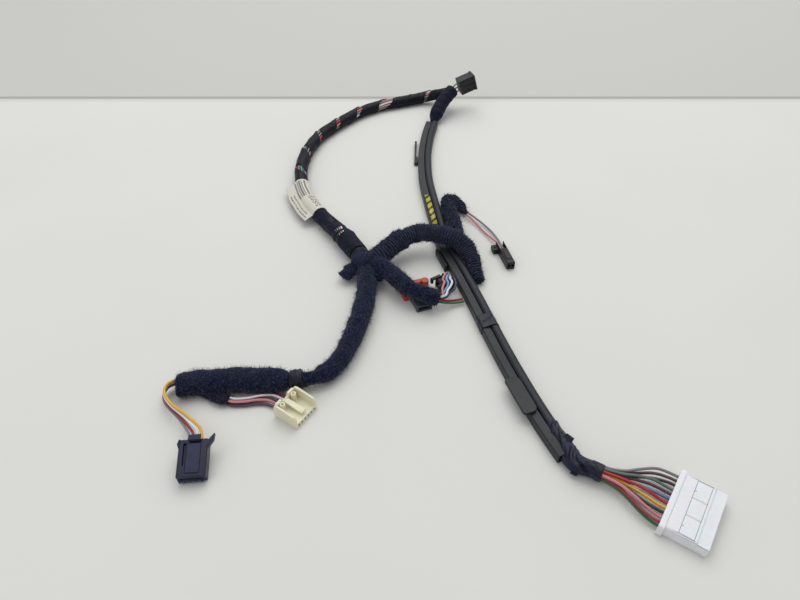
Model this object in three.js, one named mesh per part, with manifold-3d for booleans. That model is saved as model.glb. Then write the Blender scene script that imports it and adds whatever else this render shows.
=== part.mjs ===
// Wiring harness for a vehicle interior: a taped trunk, fleece-wrapped branches, a plastic wire
// protector and seven plugs on thin leads, lying on a flat surface.
// Millimetres, +Z up. Routes are measured on the bench, with +Y away from the near edge. The
// part's origin is under the middle of its footprint.
import * as THREE from 'three';
import { mergeVertices } from 'three/addons/utils/BufferGeometryUtils.js';
import Module from 'manifold-3d';

const wasm = await Module();
wasm.setup();

// Driving dimensions
const benchOrigin = { x: 11, y: 321.2 };
const gap = 0.3;
const wire = { diameter: 1.3, sides: 8, span: 4.5 };
const bundleSides = 12;
const bundleSpan = 9;

const protector = {
  width: 9.6, height: 6.4, wall: 0.9, panelDrop: 1.2, ridgeRadius: 2.6, slit: 0.55, corner: 0.8, floor: 0.2,
};
const lug = { length: 22, width: 8.6, thickness: 1.7, corner: 3.2, overhang: 3.2, y: 195.5 };
const edgeClip = { length: 17, height: 4.6, thickness: 2.2, y: 303.5 };
const leverClip = { length: 32, height: 2.6, thickness: 1.5, foot: 9, lift: 2.6, y: 432 };
const tapeBand = { length: 9, thickness: 0.35, y: 246.5 };
const barLabel = { length: 34, width: 3.6, thickness: 0.3, y: 351.5 };

const core = { radius: 1.4, farRadius: 5.5, nearRadius: 3.6, drop: 0.6 };
const trunk = { radius: 4.5, rootRadius: 5.6 };
const down = { radius: 5.4, neckRadius: 4.6, tieRadius: 3.5 };
const tie = { radius: 5.4, length: 6.6 };
const pad = { halfWidth: 7, halfHeight: 4.7, sleeveWidth: 3.3, sleeveHeight: 2.4 };
const arch = { radius: 5.1, tailRadius: 2.6 };
const side = { radius: 4.4, tipRadius: 4 };
const twig = { radius: 3.3, tipRadius: 2.9 };
const middle = { radius: 4.7, tipRadius: 4.5 };
const knot = { radius: 6.6, length: 13, ridge: 0.5, flatten: 0.92 };
const paper = { thickness: 0.35, length: 44, start: 0.678, flag: 6.5 };

const whitePlug = {
  ways: 11, pitch: 2.5, rowHeights: [1.7, 4.2], cavity: 1.9, wireDepth: 3, pinDepth: 5,
  length: 19.6, width: 29.6, height: 6, flangeLength: 2.4, flangeWidth: 31.8, flangeHeight: 6.5, corner: 0.7,
  lockStart: 7.4, lockLength: 6.2, lockDepth: 1.2, lockGroove: 0.8, grooveDepth: 0.5, lockEdge: 0.8,
  noseStep: 0.4, noseLength: 5,
};
const navyPlug = {
  ways: 4, pitch: 2.5, cavity: 1.7, slotHeight: 1.3, pinDepth: 4, wireDepth: 2.6, wirePitch: 1.9,
  length: 16.6, width: 12.5, height: 6.4, corner: 0.8,
  panelWidth: 6.4, panelLength: 13.2, panelShift: 0.5, panelRise: 0.5, groove: 1.0, grooveDepth: 1.2,
  lipHeight: 2.6, lipFoot: 0.5, lipLength: 0.8, lipWidth: 10.4, wingReach: 2.6, wingLength: 4.4, archRise: 1.5,
};
const creamPlug = {
  ways: 6, pitch: 2.2, slotWidth: 1.1, slotHeight: 0.9, pinDepth: 3.5, wireDepth: 2.4, wirePitch: 1.9,
  length: 13.4, width: 15, height: 7.4, wall: 1.1, base: 2.9, corner: 2.2, rearHeight: 8.6,
  postRadius: 1.4, postHeight: 7.6, postOffset: 3.9, armWidth: 2.8, armThickness: 1, armRise: 5.9, hook: 1.4,
};
const smallPlug = {
  length: 21.5, width: 5, height: 5.2, hoodLength: 7, hoodWall: 0.5, cavity: 1.7, pitch: 2.2, pinDepth: 4,
  wingLength: 5.2, wingWidth: 3.2, wingHeight: 3, eye: 1.2, corner: 0.6,
};
const farPlug = {
  length: 13.6, width: 12.4, height: 9.6, corner: 0.9, columns: 3, rows: 2, pitch: 3.4, rowPitch: 4, cavity: 2.4,
  pinDepth: 6, wireDepth: 2.4, ribs: 3, ribRise: 0.5, collarLength: 1.6, collarGrow: 0.35,
};
const hookPlug = {
  length: 8.2, width: 9.2, height: 6.4, corner: 0.6, wirePitch: 2.1, slotWidth: 2.7, wireDepth: 2.4,
  slotInset: 1.8, armReach: 3.6, armThickness: 1.3, armDrop: 3.4, armWidth: 1.8, pinRadius: 0.6, pinHeight: 2,
};
const lockPlug = {
  length: 12.5, width: 9.2, height: 4.2, corner: 0.7, railWidth: 2.4, railRise: 0.4, armWidth: 3,
  armHeight: 3.2, armFront: 1.4, barRear: -11.4, barWidth: 3, barEnd: 10.4, knobRadius: 2.3, knobHeight: 4.2,
};

const finishes = {
  fleece: { color: 0x1b1e30, roughness: 0.95, metalness: 0 },
  vinyl: { color: 0x202026, roughness: 0.45, metalness: 0 },
  protector: { color: 0x474c50, roughness: 0.55, metalness: 0 },
  clip: { color: 0x17181b, roughness: 0.5, metalness: 0 },
  white: { color: 0xdcdce0, roughness: 0.4, metalness: 0 },
  navy: { color: 0x20263d, roughness: 0.45, metalness: 0 },
  cream: { color: 0xd8d4b8, roughness: 0.4, metalness: 0 },
  black: { color: 0x1c1c20, roughness: 0.5, metalness: 0 },
  slate: { color: 0x34363c, roughness: 0.55, metalness: 0 },
  orange: { color: 0xbe3c28, roughness: 0.45, metalness: 0 },
  paper: { color: 0xdcdad0, roughness: 0.8, metalness: 0 },
  bars: { color: 0x8c8c1c, roughness: 0.6, metalness: 0 },
};
const insulation = {
  grey: 0x55504e, brown: 0x6e2f38, black: 0x18181a, green: 0x1f5a44, violet: 0x5a4468, blue: 0x7f97b8,
  red: 0xa01828, yellow: 0xdfb21c, pink: 0xd2687f, crimson: 0xb01838, white: 0xdcdcdc, cream: 0xdcd8c4,
  leaf: 0x2f8a44, sky: 0x88b4d8, navyBlue: 0x27305e, teal: 0x5aa090,
};

// Routes on the bench, chosen point by point: [x, y, height of the centre line]
const protectorRoute = [
  [73.4, 163, 3.4], [68, 176.2, 3.4], [63, 190, 3.4], [57.9, 206, 3.4], [52.1, 226, 3.4], [46.3, 248, 3.4],
  [41.6, 266, 3.4], [37.2, 282, 3.4], [32.3, 299, 3.4], [27.2, 317, 3.4], [23.6, 342, 3.4], [20.4, 368, 3.4],
  [18.2, 391, 3.4], [18, 412, 3.4], [18.7, 429, 3.4], [20.3, 445, 3.4], [22.6, 461, 3.4], [25.6, 476, 3.4],
];
const coreFarRoute = [[28.4, 484, 5.6], [31.6, 491.6, 8.9], [36.4, 500.2, 12.9], [43, 508.2, 16.9]];
const coreNearRoute = [[85.5, 153.8, 4.6], [80.6, 156.4, 4.3], [76, 158.9, 3.9]];
const trunkRoute = [
  [40.2, 508.6, 15], [36.8, 514.6, 11.6], [31.5, 519, 8.8], [25, 521, 6.6], [17, 520, 5.2], [8, 516.6, 4.9], [-2, 512.6, 4.8],
  [-17, 506, 4.8], [-33, 494, 4.8], [-49, 474, 4.8], [-62, 453, 4.8], [-69.2, 428, 4.8], [-70.6, 403, 4.8],
  [-68.6, 386, 4.8], [-65, 371, 5], [-58.4, 355.6, 5.2], [-49.4, 341.4, 5.4], [-40.4, 328.6, 5.8],
  [-32.4, 316.4, 6.2], [-25.6, 304.6, 6.4], [-22.6, 299, 6.5],
];
const knotRoute = [[-24, 301.8, 6.5], [-21.4, 296, 6.5], [-19.4, 289.4, 6.5]];
const downRoute = [
  [-20.4, 292.6, 6.4], [-19, 283, 6.2], [-18.8, 272, 6], [-19.6, 259, 5.9], [-22.3, 244, 5.7],
  [-25.8, 230, 5.6], [-30, 218.4, 5.6], [-35.6, 210, 5.6], [-42.4, 206, 5.6], [-49, 205, 5.6], [-55, 204.9, 5.6],
];
const padRoute = [[-54.4, 204.8, 4.9], [-66, 205.2, 4.9], [-80, 205.2, 4.9], [-94, 204, 4.9], [-107.4, 201.6, 4.9]];
const archRoute = [
  [-18, 293.4, 8.4], [-13.4, 295.4, 9.8], [-8.4, 299.6, 11], [-2, 307, 12.2], [4.8, 311.5, 13.2],
  [12, 313.8, 13.9], [21, 313, 14], [28.4, 311.2, 13.5], [34.6, 308.8, 12.2], [39.4, 305, 9],
  [42.4, 299, 6], [43.9, 292, 4.6], [45, 286, 3.7], [45.9, 281.6, 3.2],
];
const sideRoute = [[34.2, 314.6, 9.8], [34.2, 321, 9.3], [33.8, 331, 8.4], [33, 341, 7.2], [31.9, 350, 6.1], [31.3, 356, 5.4]];
// The black sleeve that takes the cream plug's leads out of the padded bundle
const sleeveRoute = [[-99, 201.4, 3.6], [-92, 198.4, 2.9], [-86.4, 196, 2.7], [-81.6, 194.8, 2.6]];
// The middle of the ribbon of leads from the padded bundle to the navy plug
const navyRibbon = [
  [-108.5, 204.3, 4.8], [-110.8, 203.2, 4.7], [-112.6, 200.4, 4.6], [-112.6, 196.8, 4.5], [-110.4, 192.6, 4.6],
  [-106.6, 188.4, 4.8], [-102.4, 184.6, 5.2], [-98.6, 180.8, 6],
];
const twigRoute = [
  [31.1, 356.4, 5], [31, 361.2, 4.6], [32.4, 365.2, 4.2], [35.8, 365.4, 4], [38.6, 361.4, 3.8], [41, 355.6, 3.6],
  [43.4, 350.4, 3.4],
];
const middleRoute = [
  [-16.6, 293, 8.6], [-10.4, 287.2, 9.4], [-4.4, 279.4, 9.9], [1.6, 271.6, 9.9], [7.4, 266.2, 9.8],
  [13.8, 262.9, 9.3], [21.4, 261.6, 7.8],
];
// The small plug's two leads, from the twig's end towards its hood
const smallPlugLoops = [
  [[44.9, 350.4, 3.4], [49, 346.3, 2.4], [54.4, 339.4, 1.6], [58.6, 331.2, 1.6], [60.6, 324.6, 2.2]],
  [[43.6, 348.4, 3.4], [46.4, 345.2, 2.6], [50.4, 338.4, 1.6], [54.6, 329.8, 1.6], [58, 323.4, 2.2]],
];
// The turn of the hook plug's leads, and where they are level above its slot, counted from the slot
const hookTurn = [[25.6, 266.4, 9.4], [28, 271, 10.4]];
const hookDrop = [[-1.4, -3.4, 3.7], [0, 0, 3.2]];
// The two leads that run from the middle branch to the protector's side
const protectorWireRoutes = [
  [[26, 263.6, 4.2], [30.4, 265.4, 2.8], [35, 267.2, 2.2]],
  [[26, 261.7, 4.2], [30.4, 263.4, 2.8], [35.6, 265.1, 2.2]],
];

// Plug seats: the middle of the lower rear edge on the bench, the mating direction, and the tilt and roll
const seats = {
  white: { at: [111.2, 141.4, 0], heading: -34.5 },
  navy: { at: [-90.1, 168.2, 4.25], heading: -84.7, tilt: -14 },
  cream: { at: [-54.7, 192.9, 0], heading: -33 },
  small: { at: [61.4, 317, 0.2], heading: -78 },
  far: { at: [47, 514.4, 19.6], heading: 18, tilt: 17, roll: 90 },
  hook: { at: [29.6, 281.4, 0.2], heading: 212 },
  lock: { at: [9.4, 271.4, 0], heading: -70 },
};

const up = new THREE.Vector3(0, 0, 1);
const group = new THREE.Group();

function finishOf(look) {
  return new THREE.MeshStandardMaterial(look);
}

function wireFinish(colour) {
  return finishOf({ color: insulation[colour], roughness: 0.4, metalness: 0 });
}

// A closed geometry as a solid that can be cut and joined
function solidOf(geometry) {
  const loose = geometry.index ? geometry.toNonIndexed() : geometry;
  const bare = new THREE.BufferGeometry();
  bare.setAttribute('position', loose.getAttribute('position'));
  const merged = mergeVertices(bare, 1e-4);
  return new wasm.Manifold(new wasm.Mesh({
    numProp: 3,
    vertProperties: merged.getAttribute('position').array,
    triVerts: new Uint32Array(merged.index.array),
  }));
}

function largest(solid) {
  const pieces = solid.decompose();
  pieces.sort((a, b) => b.volume() - a.volume());
  return pieces[0];
}

function addPiece(name, solid, material, seat = null) {
  const { vertProperties, triVerts } = solid.getMesh();
  const geometry = new THREE.BufferGeometry();
  geometry.setAttribute('position', new THREE.BufferAttribute(vertProperties, 3));
  geometry.setIndex(new THREE.BufferAttribute(triVerts, 1));
  geometry.computeVertexNormals();
  const mesh = new THREE.Mesh(geometry, material);
  mesh.name = name;
  if (seat) {
    seat.add(mesh);
  } else {
    group.add(mesh);
  }
  return mesh;
}

// Profiles
function polygon(points) {
  return new THREE.Shape(points.map(([x, y]) => new THREE.Vector2(x, y)));
}

function roundedRect(x0, x1, y0, y1, r) {
  const shape = new THREE.Shape();
  shape.moveTo(x0 + r, y0);
  shape.lineTo(x1 - r, y0);
  shape.absarc(x1 - r, y0 + r, r, -Math.PI / 2, 0);
  shape.lineTo(x1, y1 - r);
  shape.absarc(x1 - r, y1 - r, r, 0, Math.PI / 2);
  shape.lineTo(x0 + r, y1);
  shape.absarc(x0 + r, y1 - r, r, Math.PI / 2, Math.PI);
  shape.lineTo(x0, y0 + r);
  shape.absarc(x0 + r, y0 + r, r, Math.PI, Math.PI * 1.5);
  return shape;
}

function prism(shape, depth, steps = 1) {
  return new THREE.ExtrudeGeometry(shape, { depth, steps, bevelEnabled: false, curveSegments: 2 });
}

// A profile in (y, z), carried along x
function alongX(shape, x0, x1) {
  const axes = new THREE.Matrix4().makeBasis(
    new THREE.Vector3(0, 1, 0), new THREE.Vector3(0, 0, 1), new THREE.Vector3(1, 0, 0),
  );
  return solidOf(prism(shape, x1 - x0).applyMatrix4(axes).translate(x0, 0, 0));
}

// A profile in (x, z), carried along y
function alongY(shape, y0, y1) {
  return solidOf(prism(shape, y1 - y0).rotateX(Math.PI / 2).translate(0, y1, 0));
}

// A profile in (x, y), carried along z
function alongZ(shape, z0, z1) {
  return solidOf(prism(shape, z1 - z0).translate(0, 0, z0));
}

function block(x0, x1, y0, y1, z0, z1) {
  const box = new THREE.BoxGeometry(x1 - x0, y1 - y0, z1 - z0);
  return solidOf(box.translate((x0 + x1) / 2, (y0 + y1) / 2, (z0 + z1) / 2));
}

function post(x, y, z0, z1, radius) {
  const cylinder = new THREE.CylinderGeometry(radius, radius, z1 - z0, 12).rotateX(Math.PI / 2);
  return solidOf(cylinder.translate(x, y, (z0 + z1) / 2));
}

// Places along a row of equal pitch, centred on zero
function row(count, pitch) {
  return Array.from({ length: count }, (unused, i) => (i - (count - 1) / 2) * pitch);
}

// Routes
function curveThrough(points) {
  const curve = new THREE.CatmullRomCurve3(points.map((p) => new THREE.Vector3(...p)), false, 'centripetal');
  curve.arcLengthDivisions = 600;
  return curve;
}

// The share of a route's length at which it passes a distance from the near edge of the bench
function shareAt(curve, y) {
  let low = 0;
  let high = 1;
  for (let i = 0; i < 30; i += 1) {
    const mid = (low + high) / 2;
    if (curve.getPointAt(mid).y < y) low = mid;
    else high = mid;
  }
  return low;
}

// The frame of a route at a share of its length: centre, forward, left and rise
function frameAt(curve, share) {
  const centre = curve.getPointAt(share);
  const forward = curve.getTangentAt(share);
  const left = new THREE.Vector3().crossVectors(up, forward).normalize();
  const rise = new THREE.Vector3().crossVectors(forward, left);
  return { centre, forward, left, rise };
}

// Bends a straight solid, built along +Z with x to the left and y up, onto a route
function bend(geometry, curve, startShare = 0) {
  const length = curve.getLength();
  const position = geometry.getAttribute('position');
  for (let i = 0; i < position.count; i += 1) {
    const wanted = startShare + position.getZ(i) / length;
    const share = Math.min(1, Math.max(0, wanted));
    const { centre, forward, left, rise } = frameAt(curve, share);
    centre.addScaledVector(left, position.getX(i)).addScaledVector(rise, position.getY(i));
    centre.addScaledVector(forward, (wanted - share) * length);
    position.setXYZ(i, centre.x, centre.y, centre.z);
  }
  return geometry;
}

// A wound bundle: radii are [share of the length, radius], with rounded shoulders at both ends
function bundle(points, radii, { squash = 1, grow = 0, shoulder = 0.35, sides = bundleSides, span = bundleSpan } = {}) {
  const curve = curveThrough(points);
  const length = curve.getLength();
  const radiusAt = (along) => {
    const share = along / length;
    let i = 1;
    while (i < radii.length - 1 && share > radii[i][0]) i += 1;
    const [s0, r0] = radii[i - 1];
    const [s1, r1] = radii[i];
    return r0 + (r1 - r0) * THREE.MathUtils.smoothstep(share, s0, s1);
  };
  const firstRound = radii[0][1] * shoulder;
  const lastRound = radii[radii.length - 1][1] * shoulder;
  const steps = Math.max(3, Math.round(length / span));
  const stations = [firstRound, length - lastRound];
  for (let i = 1; i < steps; i += 1) stations.push((length * i) / steps);
  for (const [share] of radii) stations.push(share * length);
  const inside = stations.filter((z) => z >= firstRound && z <= length - lastRound).sort((a, b) => a - b);
  const kept = inside.filter((z, i) => i === 0 || z - inside[i - 1] > 0.4);
  const profile = [
    new THREE.Vector2(0, -grow),
    new THREE.Vector2(radii[0][1] * (1 - shoulder) + grow, -grow),
    ...kept.map((z) => new THREE.Vector2(radiusAt(z) + grow, z)),
    new THREE.Vector2(radii[radii.length - 1][1] * (1 - shoulder) + grow, length + grow),
    new THREE.Vector2(0, length + grow),
  ];
  const straight = new THREE.LatheGeometry(profile, sides).rotateX(Math.PI / 2).scale(1, squash, 1);
  return solidOf(bend(straight, curve));
}

function circle(radius, sides) {
  return polygon(Array.from({ length: sides }, (unused, i) => {
    const angle = (i * Math.PI * 2) / sides;
    return [radius * Math.cos(angle), radius * Math.sin(angle)];
  }));
}

// A lead: an insulated wire along its own curve
function lead(name, points, colour) {
  const curve = curveThrough(points);
  const steps = Math.max(3, Math.round(curve.getLength() / wire.span));
  const tube = new THREE.ExtrudeGeometry(circle(wire.diameter / 2, wire.sides), { steps, extrudePath: curve });
  addPiece(name, solidOf(tube), wireFinish(colour));
}

// Plugs are built with x towards the mating face, y to the left, z up, and x = 0 at the rear edge
function seatOf({ at, heading, tilt = 0, roll = 0 }) {
  const [turn, lean, yaw] = [roll, -tilt, heading].map(THREE.MathUtils.degToRad);
  const seat = new THREE.Group();
  seat.position.set(...at);
  seat.rotation.set(turn, lean, yaw, 'ZYX');
  group.add(seat);
  seat.updateMatrixWorld(true);
  return seat;
}

function benchPoint(seat, x, y, z) {
  return seat.localToWorld(new THREE.Vector3(x, y, z)).toArray();
}

// Points of one lead in a ribbon: it keeps its offset from the ribbon's middle while the ribbon
// untwists from upright to flat
function ribbonPoints(curve, offset, { from = 0, count = 9, twist = 0, flatten = [0.1, 0.9], until = 1 } = {}) {
  const points = [];
  for (let i = 0; i <= count; i += 1) {
    const share = from + ((until - from) * i) / count;
    const { centre, left, rise } = frameAt(curve, share);
    const angle = THREE.MathUtils.degToRad(twist) * (1 - THREE.MathUtils.smoothstep(share, ...flatten));
    centre.addScaledVector(left, offset * Math.cos(angle)).addScaledVector(rise, offset * Math.sin(angle));
    points.push(centre.toArray());
  }
  return points;
}

// A lead's points from a bundle's end to a plug's cavity: it runs straight out of the bundle, eases
// sideways, and drops to its row late, so that leads of one column never cross
function easedLead(start, out, seat, entry, insert) {
  const target = new THREE.Vector3(...benchPoint(seat, 0, entry.y, entry.z));
  const inner = benchPoint(seat, insert, entry.y, entry.z);
  const before = benchPoint(seat, -2.5, entry.y, entry.z);
  const begin = new THREE.Vector3(...start);
  const stub = begin.clone().addScaledVector(out, 2.5);
  const points = [begin.toArray(), stub.toArray()];
  const near = new THREE.Vector3(...before);
  for (const t of [0.25, 0.5, 0.75]) {
    const sideways = THREE.MathUtils.smoothstep(t, 0, 1);
    const p = stub.clone().lerp(near, t);
    const straight = stub.clone().addScaledVector(out, stub.distanceTo(near) * t);
    const aimed = near.clone().addScaledVector(near.clone().sub(target).normalize(), stub.distanceTo(near) * (1 - t));
    p.x = THREE.MathUtils.lerp(straight.x, aimed.x, sideways);
    p.y = THREE.MathUtils.lerp(straight.y, aimed.y, sideways);
    p.z = THREE.MathUtils.lerp(stub.z, near.z, t ** 3);
    points.push(p.toArray());
  }
  points.push(before, inner);
  return points;
}

// Wire protector: a channel with a flat panel, a slit and a round ridge, carried along its route
function protectorProfile(grow = 0) {
  const half = protector.width / 2 + grow;
  const low = -protector.height / 2 - Math.min(grow, protector.floor);
  const panel = protector.height / 2 - protector.panelDrop + grow;
  const r = protector.corner;
  const ridge = protector.ridgeRadius + grow;
  const ridgeX = -half + ridge;
  const ridgeY = protector.height / 2 - protector.ridgeRadius;
  return { half, low, panel, r, ridge, ridgeX, ridgeY };
}

function protectorShape() {
  const { half, low, panel, r, ridge, ridgeX, ridgeY } = protectorProfile();
  const wall = protector.wall;
  const lip = Math.acos((panel - 0.1 - ridgeY) / ridge);
  const lipX = ridgeX + ridge * Math.sin(lip);
  const slitLeft = lipX + protector.slit;
  const shape = new THREE.Shape();
  shape.moveTo(slitLeft, panel);
  shape.lineTo(half - r, panel);
  shape.absarc(half - r, panel - r, r, Math.PI / 2, 0, true);
  shape.lineTo(half, low + r);
  shape.absarc(half - r, low + r, r, 0, -Math.PI / 2, true);
  shape.lineTo(-half + r, low);
  shape.absarc(-half + r, low + r, r, -Math.PI / 2, -Math.PI, true);
  shape.lineTo(-half, ridgeY);
  shape.absarc(ridgeX, ridgeY, ridge, Math.PI, Math.PI / 2 - lip, true);
  shape.absarc(ridgeX, ridgeY, ridge - wall, Math.PI / 2 - lip, Math.PI, false);
  shape.lineTo(-half + wall, low + wall);
  shape.lineTo(half - wall, low + wall);
  shape.lineTo(half - wall, panel - wall);
  shape.lineTo(slitLeft, panel - wall);
  return shape;
}

// The outside of the protector as one closed profile, grown by a clearance
function protectorHull(grow) {
  const { half, low, panel, r, ridge, ridgeX, ridgeY } = protectorProfile(grow);
  const lip = Math.acos((panel - ridgeY) / ridge);
  const shape = new THREE.Shape();
  shape.moveTo(half - r, panel);
  shape.absarc(half - r, panel - r, r, Math.PI / 2, 0, true);
  shape.lineTo(half, low + r);
  shape.absarc(half - r, low + r, r, 0, -Math.PI / 2, true);
  shape.lineTo(-half + r, low);
  shape.absarc(-half + r, low + r, r, -Math.PI / 2, -Math.PI, true);
  shape.lineTo(-half, ridgeY);
  shape.absarc(ridgeX, ridgeY, ridge, Math.PI, Math.PI / 2 - lip, true);
  return shape;
}

function channel(shape, curve, startShare, length, span = bundleSpan) {
  const steps = Math.max(2, Math.round(length / span));
  const geometry = new THREE.ExtrudeGeometry(shape, { depth: length, steps, bevelEnabled: false, curveSegments: 3 });
  return solidOf(bend(geometry, curve, startShare));
}

function buildProtector() {
  const curve = curveThrough(protectorRoute);
  const length = curve.getLength();
  const { half, panel } = protectorProfile();

  // The moulded lug: a round-cornered plate on the panel that reaches past its left edge
  const startOf = (item) => shareAt(curve, item.y) - item.length / 2 / length;
  const plate = roundedRect(0, lug.length, 0, lug.width, lug.corner);
  const lugPlate = prism(plate, lug.thickness).applyMatrix4(new THREE.Matrix4().makeBasis(
    new THREE.Vector3(0, 0, 1), new THREE.Vector3(1, 0, 0), new THREE.Vector3(0, 1, 0),
  ));
  const lugInner = half + lug.overhang - lug.width;
  lugPlate.translate(lugInner, panel - 0.05, 0);
  const sheath = channel(protectorShape(), curve, 0, length);
  addPiece('wire_protector', sheath.add(solidOf(bend(lugPlate, curve, startOf(lug)))), finishOf(finishes.protector));

  // The clip on the left edge, a round-ended tab against the wall
  const clipLow = -protector.height / 2;
  const clipShape = roundedRect(
    half + gap, half + gap + edgeClip.thickness, clipLow, clipLow + edgeClip.height, edgeClip.thickness * 0.4,
  );
  addPiece('edge_clip', channel(clipShape, curve, startOf(edgeClip), edgeClip.length, 4), finishOf(finishes.clip));

  // The lever clip: a foot against the wall, and a finger that stands off it
  const finger = leverClip.thickness;
  const leverPlan = polygon([
    [0, gap], [leverClip.foot, gap], [leverClip.foot, gap + leverClip.lift * 0.6],
    [leverClip.length, gap + leverClip.lift], [leverClip.length, gap + leverClip.lift + finger],
    [0, gap + leverClip.lift * 0.4 + finger],
  ]);
  const lever = new THREE.ExtrudeGeometry(leverPlan, { depth: leverClip.height, steps: 1, bevelEnabled: false });
  lever.applyMatrix4(new THREE.Matrix4().makeBasis(
    new THREE.Vector3(0, 0, 1), new THREE.Vector3(1, 0, 0), new THREE.Vector3(0, 1, 0),
  ));
  lever.translate(half, clipLow, 0);
  addPiece('lever_clip', solidOf(bend(lever, curve, startOf(leverClip))), finishOf(finishes.clip));

  // The tape band: a thin sleeve round the outside, open below where the protector lies on the surface
  const bandStart = startOf(tapeBand);
  const outside = channel(protectorHull(gap + tapeBand.thickness), curve, bandStart, tapeBand.length, 4);
  const inside = channel(protectorHull(gap), curve, bandStart - 1 / length, tapeBand.length + 2, 4);
  const under = new THREE.ExtrudeGeometry(
    polygon([[-20, -20], [20, -20], [20, clipLow + 1], [-20, clipLow + 1]]),
    { depth: tapeBand.length + 2, steps: 3, bevelEnabled: false },
  );
  const below = solidOf(bend(under, curve, bandStart - 1 / length));
  addPiece('protector_tape', largest(outside.subtract(inside).subtract(below)), finishOf(finishes.vinyl));

  // The barred label, a thin strip on the flat panel
  const strip = polygon([
    [half - protector.corner, panel + gap], [half - protector.corner, panel + gap + barLabel.thickness],
    [half - protector.corner - barLabel.width, panel + gap + barLabel.thickness],
    [half - protector.corner - barLabel.width, panel + gap],
  ]);
  addPiece('bar_label', channel(strip, curve, startOf(barLabel), barLabel.length), finishOf(finishes.bars));
}

// The wires inside the protector, taped where they leave it at both ends
function coreShape(grow) {
  const inner = protectorRoute.map(([x, y, z]) => [x, y, z - core.drop]);
  const points = [...coreNearRoute, ...inner, ...coreFarRoute];
  const length = curveThrough(points).getLength();
  const nearEnd = curveThrough([...coreNearRoute, inner[0]]).getLength() / length;
  const farStart = 1 - curveThrough([inner[inner.length - 1], ...coreFarRoute]).getLength() / length;
  const radii = [
    [0, core.nearRadius], [nearEnd - 6 / length, core.nearRadius], [nearEnd - 1 / length, core.radius],
    [farStart + 1 / length, core.radius], [farStart + 12 / length, core.farRadius], [1, core.farRadius],
  ];
  return bundle(points, radii, { grow, sides: 10 });
}

// Bundles that meet are cut by their neighbour grown by the clearance, so they seat on each other
function buildBranches() {
  const shapes = {
    knot: (grow) => bundle(
      knotRoute,
      [[0, knot.radius - 1], [0.25, knot.radius], [0.4, knot.radius - knot.ridge], [0.55, knot.radius],
        [0.7, knot.radius - knot.ridge], [0.85, knot.radius], [1, knot.radius - 1]],
      { squash: knot.flatten, grow, span: 20 },
    ),
    down: (grow) => bundle(
      downRoute,
      [[0, down.radius], [0.42, down.radius], [0.75, down.neckRadius], [0.83, down.neckRadius],
        [0.87, down.tieRadius], [1, down.tieRadius]],
      { grow, span: 6 },
    ),
    arch: (grow) => bundle(
      archRoute,
      [[0, arch.radius], [0.72, arch.radius], [0.84, arch.radius - 0.9], [1, arch.tailRadius]],
      { grow, span: 6 },
    ),
    side: (grow) => bundle(sideRoute, [[0, side.radius], [1, side.tipRadius]], { grow, span: 7 }),
  };
  const clear = Object.fromEntries(Object.entries(shapes).map(([name, make]) => [name, make(gap)]));
  const fleece = () => finishOf(finishes.fleece);
  const vinyl = () => finishOf(finishes.vinyl);

  const trunkSolid = bundle(
    trunkRoute,
    [[0, trunk.radius - 0.4], [0.03, trunk.radius], [0.8, trunk.radius], [0.9, trunk.rootRadius], [1, trunk.rootRadius]],
    { squash: 0.96 },
  );
  addPiece('protector_core', coreShape(0), vinyl());
  addPiece('junction_knot', shapes.knot(0), vinyl());
  addPiece('main_trunk', largest(trunkSolid.subtract(clear.knot).subtract(coreShape(gap))), vinyl());
  addPiece('down_branch', largest(shapes.down(0).subtract(clear.knot).subtract(padShape(gap))), fleece());
  addPiece('arch_branch', largest(shapes.arch(0).subtract(clear.knot).subtract(clear.down)), fleece());
  addPiece('side_branch', largest(shapes.side(0).subtract(clear.arch)), fleece());

  const twigSolid = bundle(twigRoute, [[0, twig.radius], [1, twig.tipRadius]], { span: 3.5, sides: 10 });
  addPiece('twig', largest(twigSolid.subtract(clear.side)), fleece());

  const middleSolid = bundle(middleRoute, [[0, middle.radius], [0.6, middle.radius], [1, middle.tipRadius]], { span: 6 });
  const cutMiddle = middleSolid.subtract(clear.knot).subtract(clear.arch).subtract(clear.down).subtract(lockClear());
  addPiece('middle_branch', largest(cutMiddle), fleece());

  // The tie band is wound round the thin end of the down branch, against the pad
  const downCurve = curveThrough(downRoute);
  const tieInner = down.tieRadius + gap;
  const ring = new THREE.LatheGeometry([
    new THREE.Vector2(tieInner, 0), new THREE.Vector2(tie.radius - 0.5, 0), new THREE.Vector2(tie.radius, 0.7),
    new THREE.Vector2(tie.radius - 0.35, tie.length / 2), new THREE.Vector2(tie.radius, tie.length - 0.7),
    new THREE.Vector2(tie.radius - 0.5, tie.length), new THREE.Vector2(tieInner, tie.length),
    new THREE.Vector2(tieInner, tie.length / 2), new THREE.Vector2(tieInner, 0),
  ], bundleSides).rotateX(Math.PI / 2);
  const tieShare = 1 - (tie.length + 1.4) / downCurve.getLength();
  addPiece('tie_band', solidOf(bend(ring, downCurve, tieShare)).subtract(padShape(gap)), vinyl());

  const sleeve = bundle(sleeveRoute, [[0, pad.sleeveWidth], [1, pad.sleeveWidth]], {
    squash: pad.sleeveHeight / pad.sleeveWidth, span: 5, sides: 10,
  });
  addPiece('pad', padShape(0).add(sleeve), fleece());
}

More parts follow.
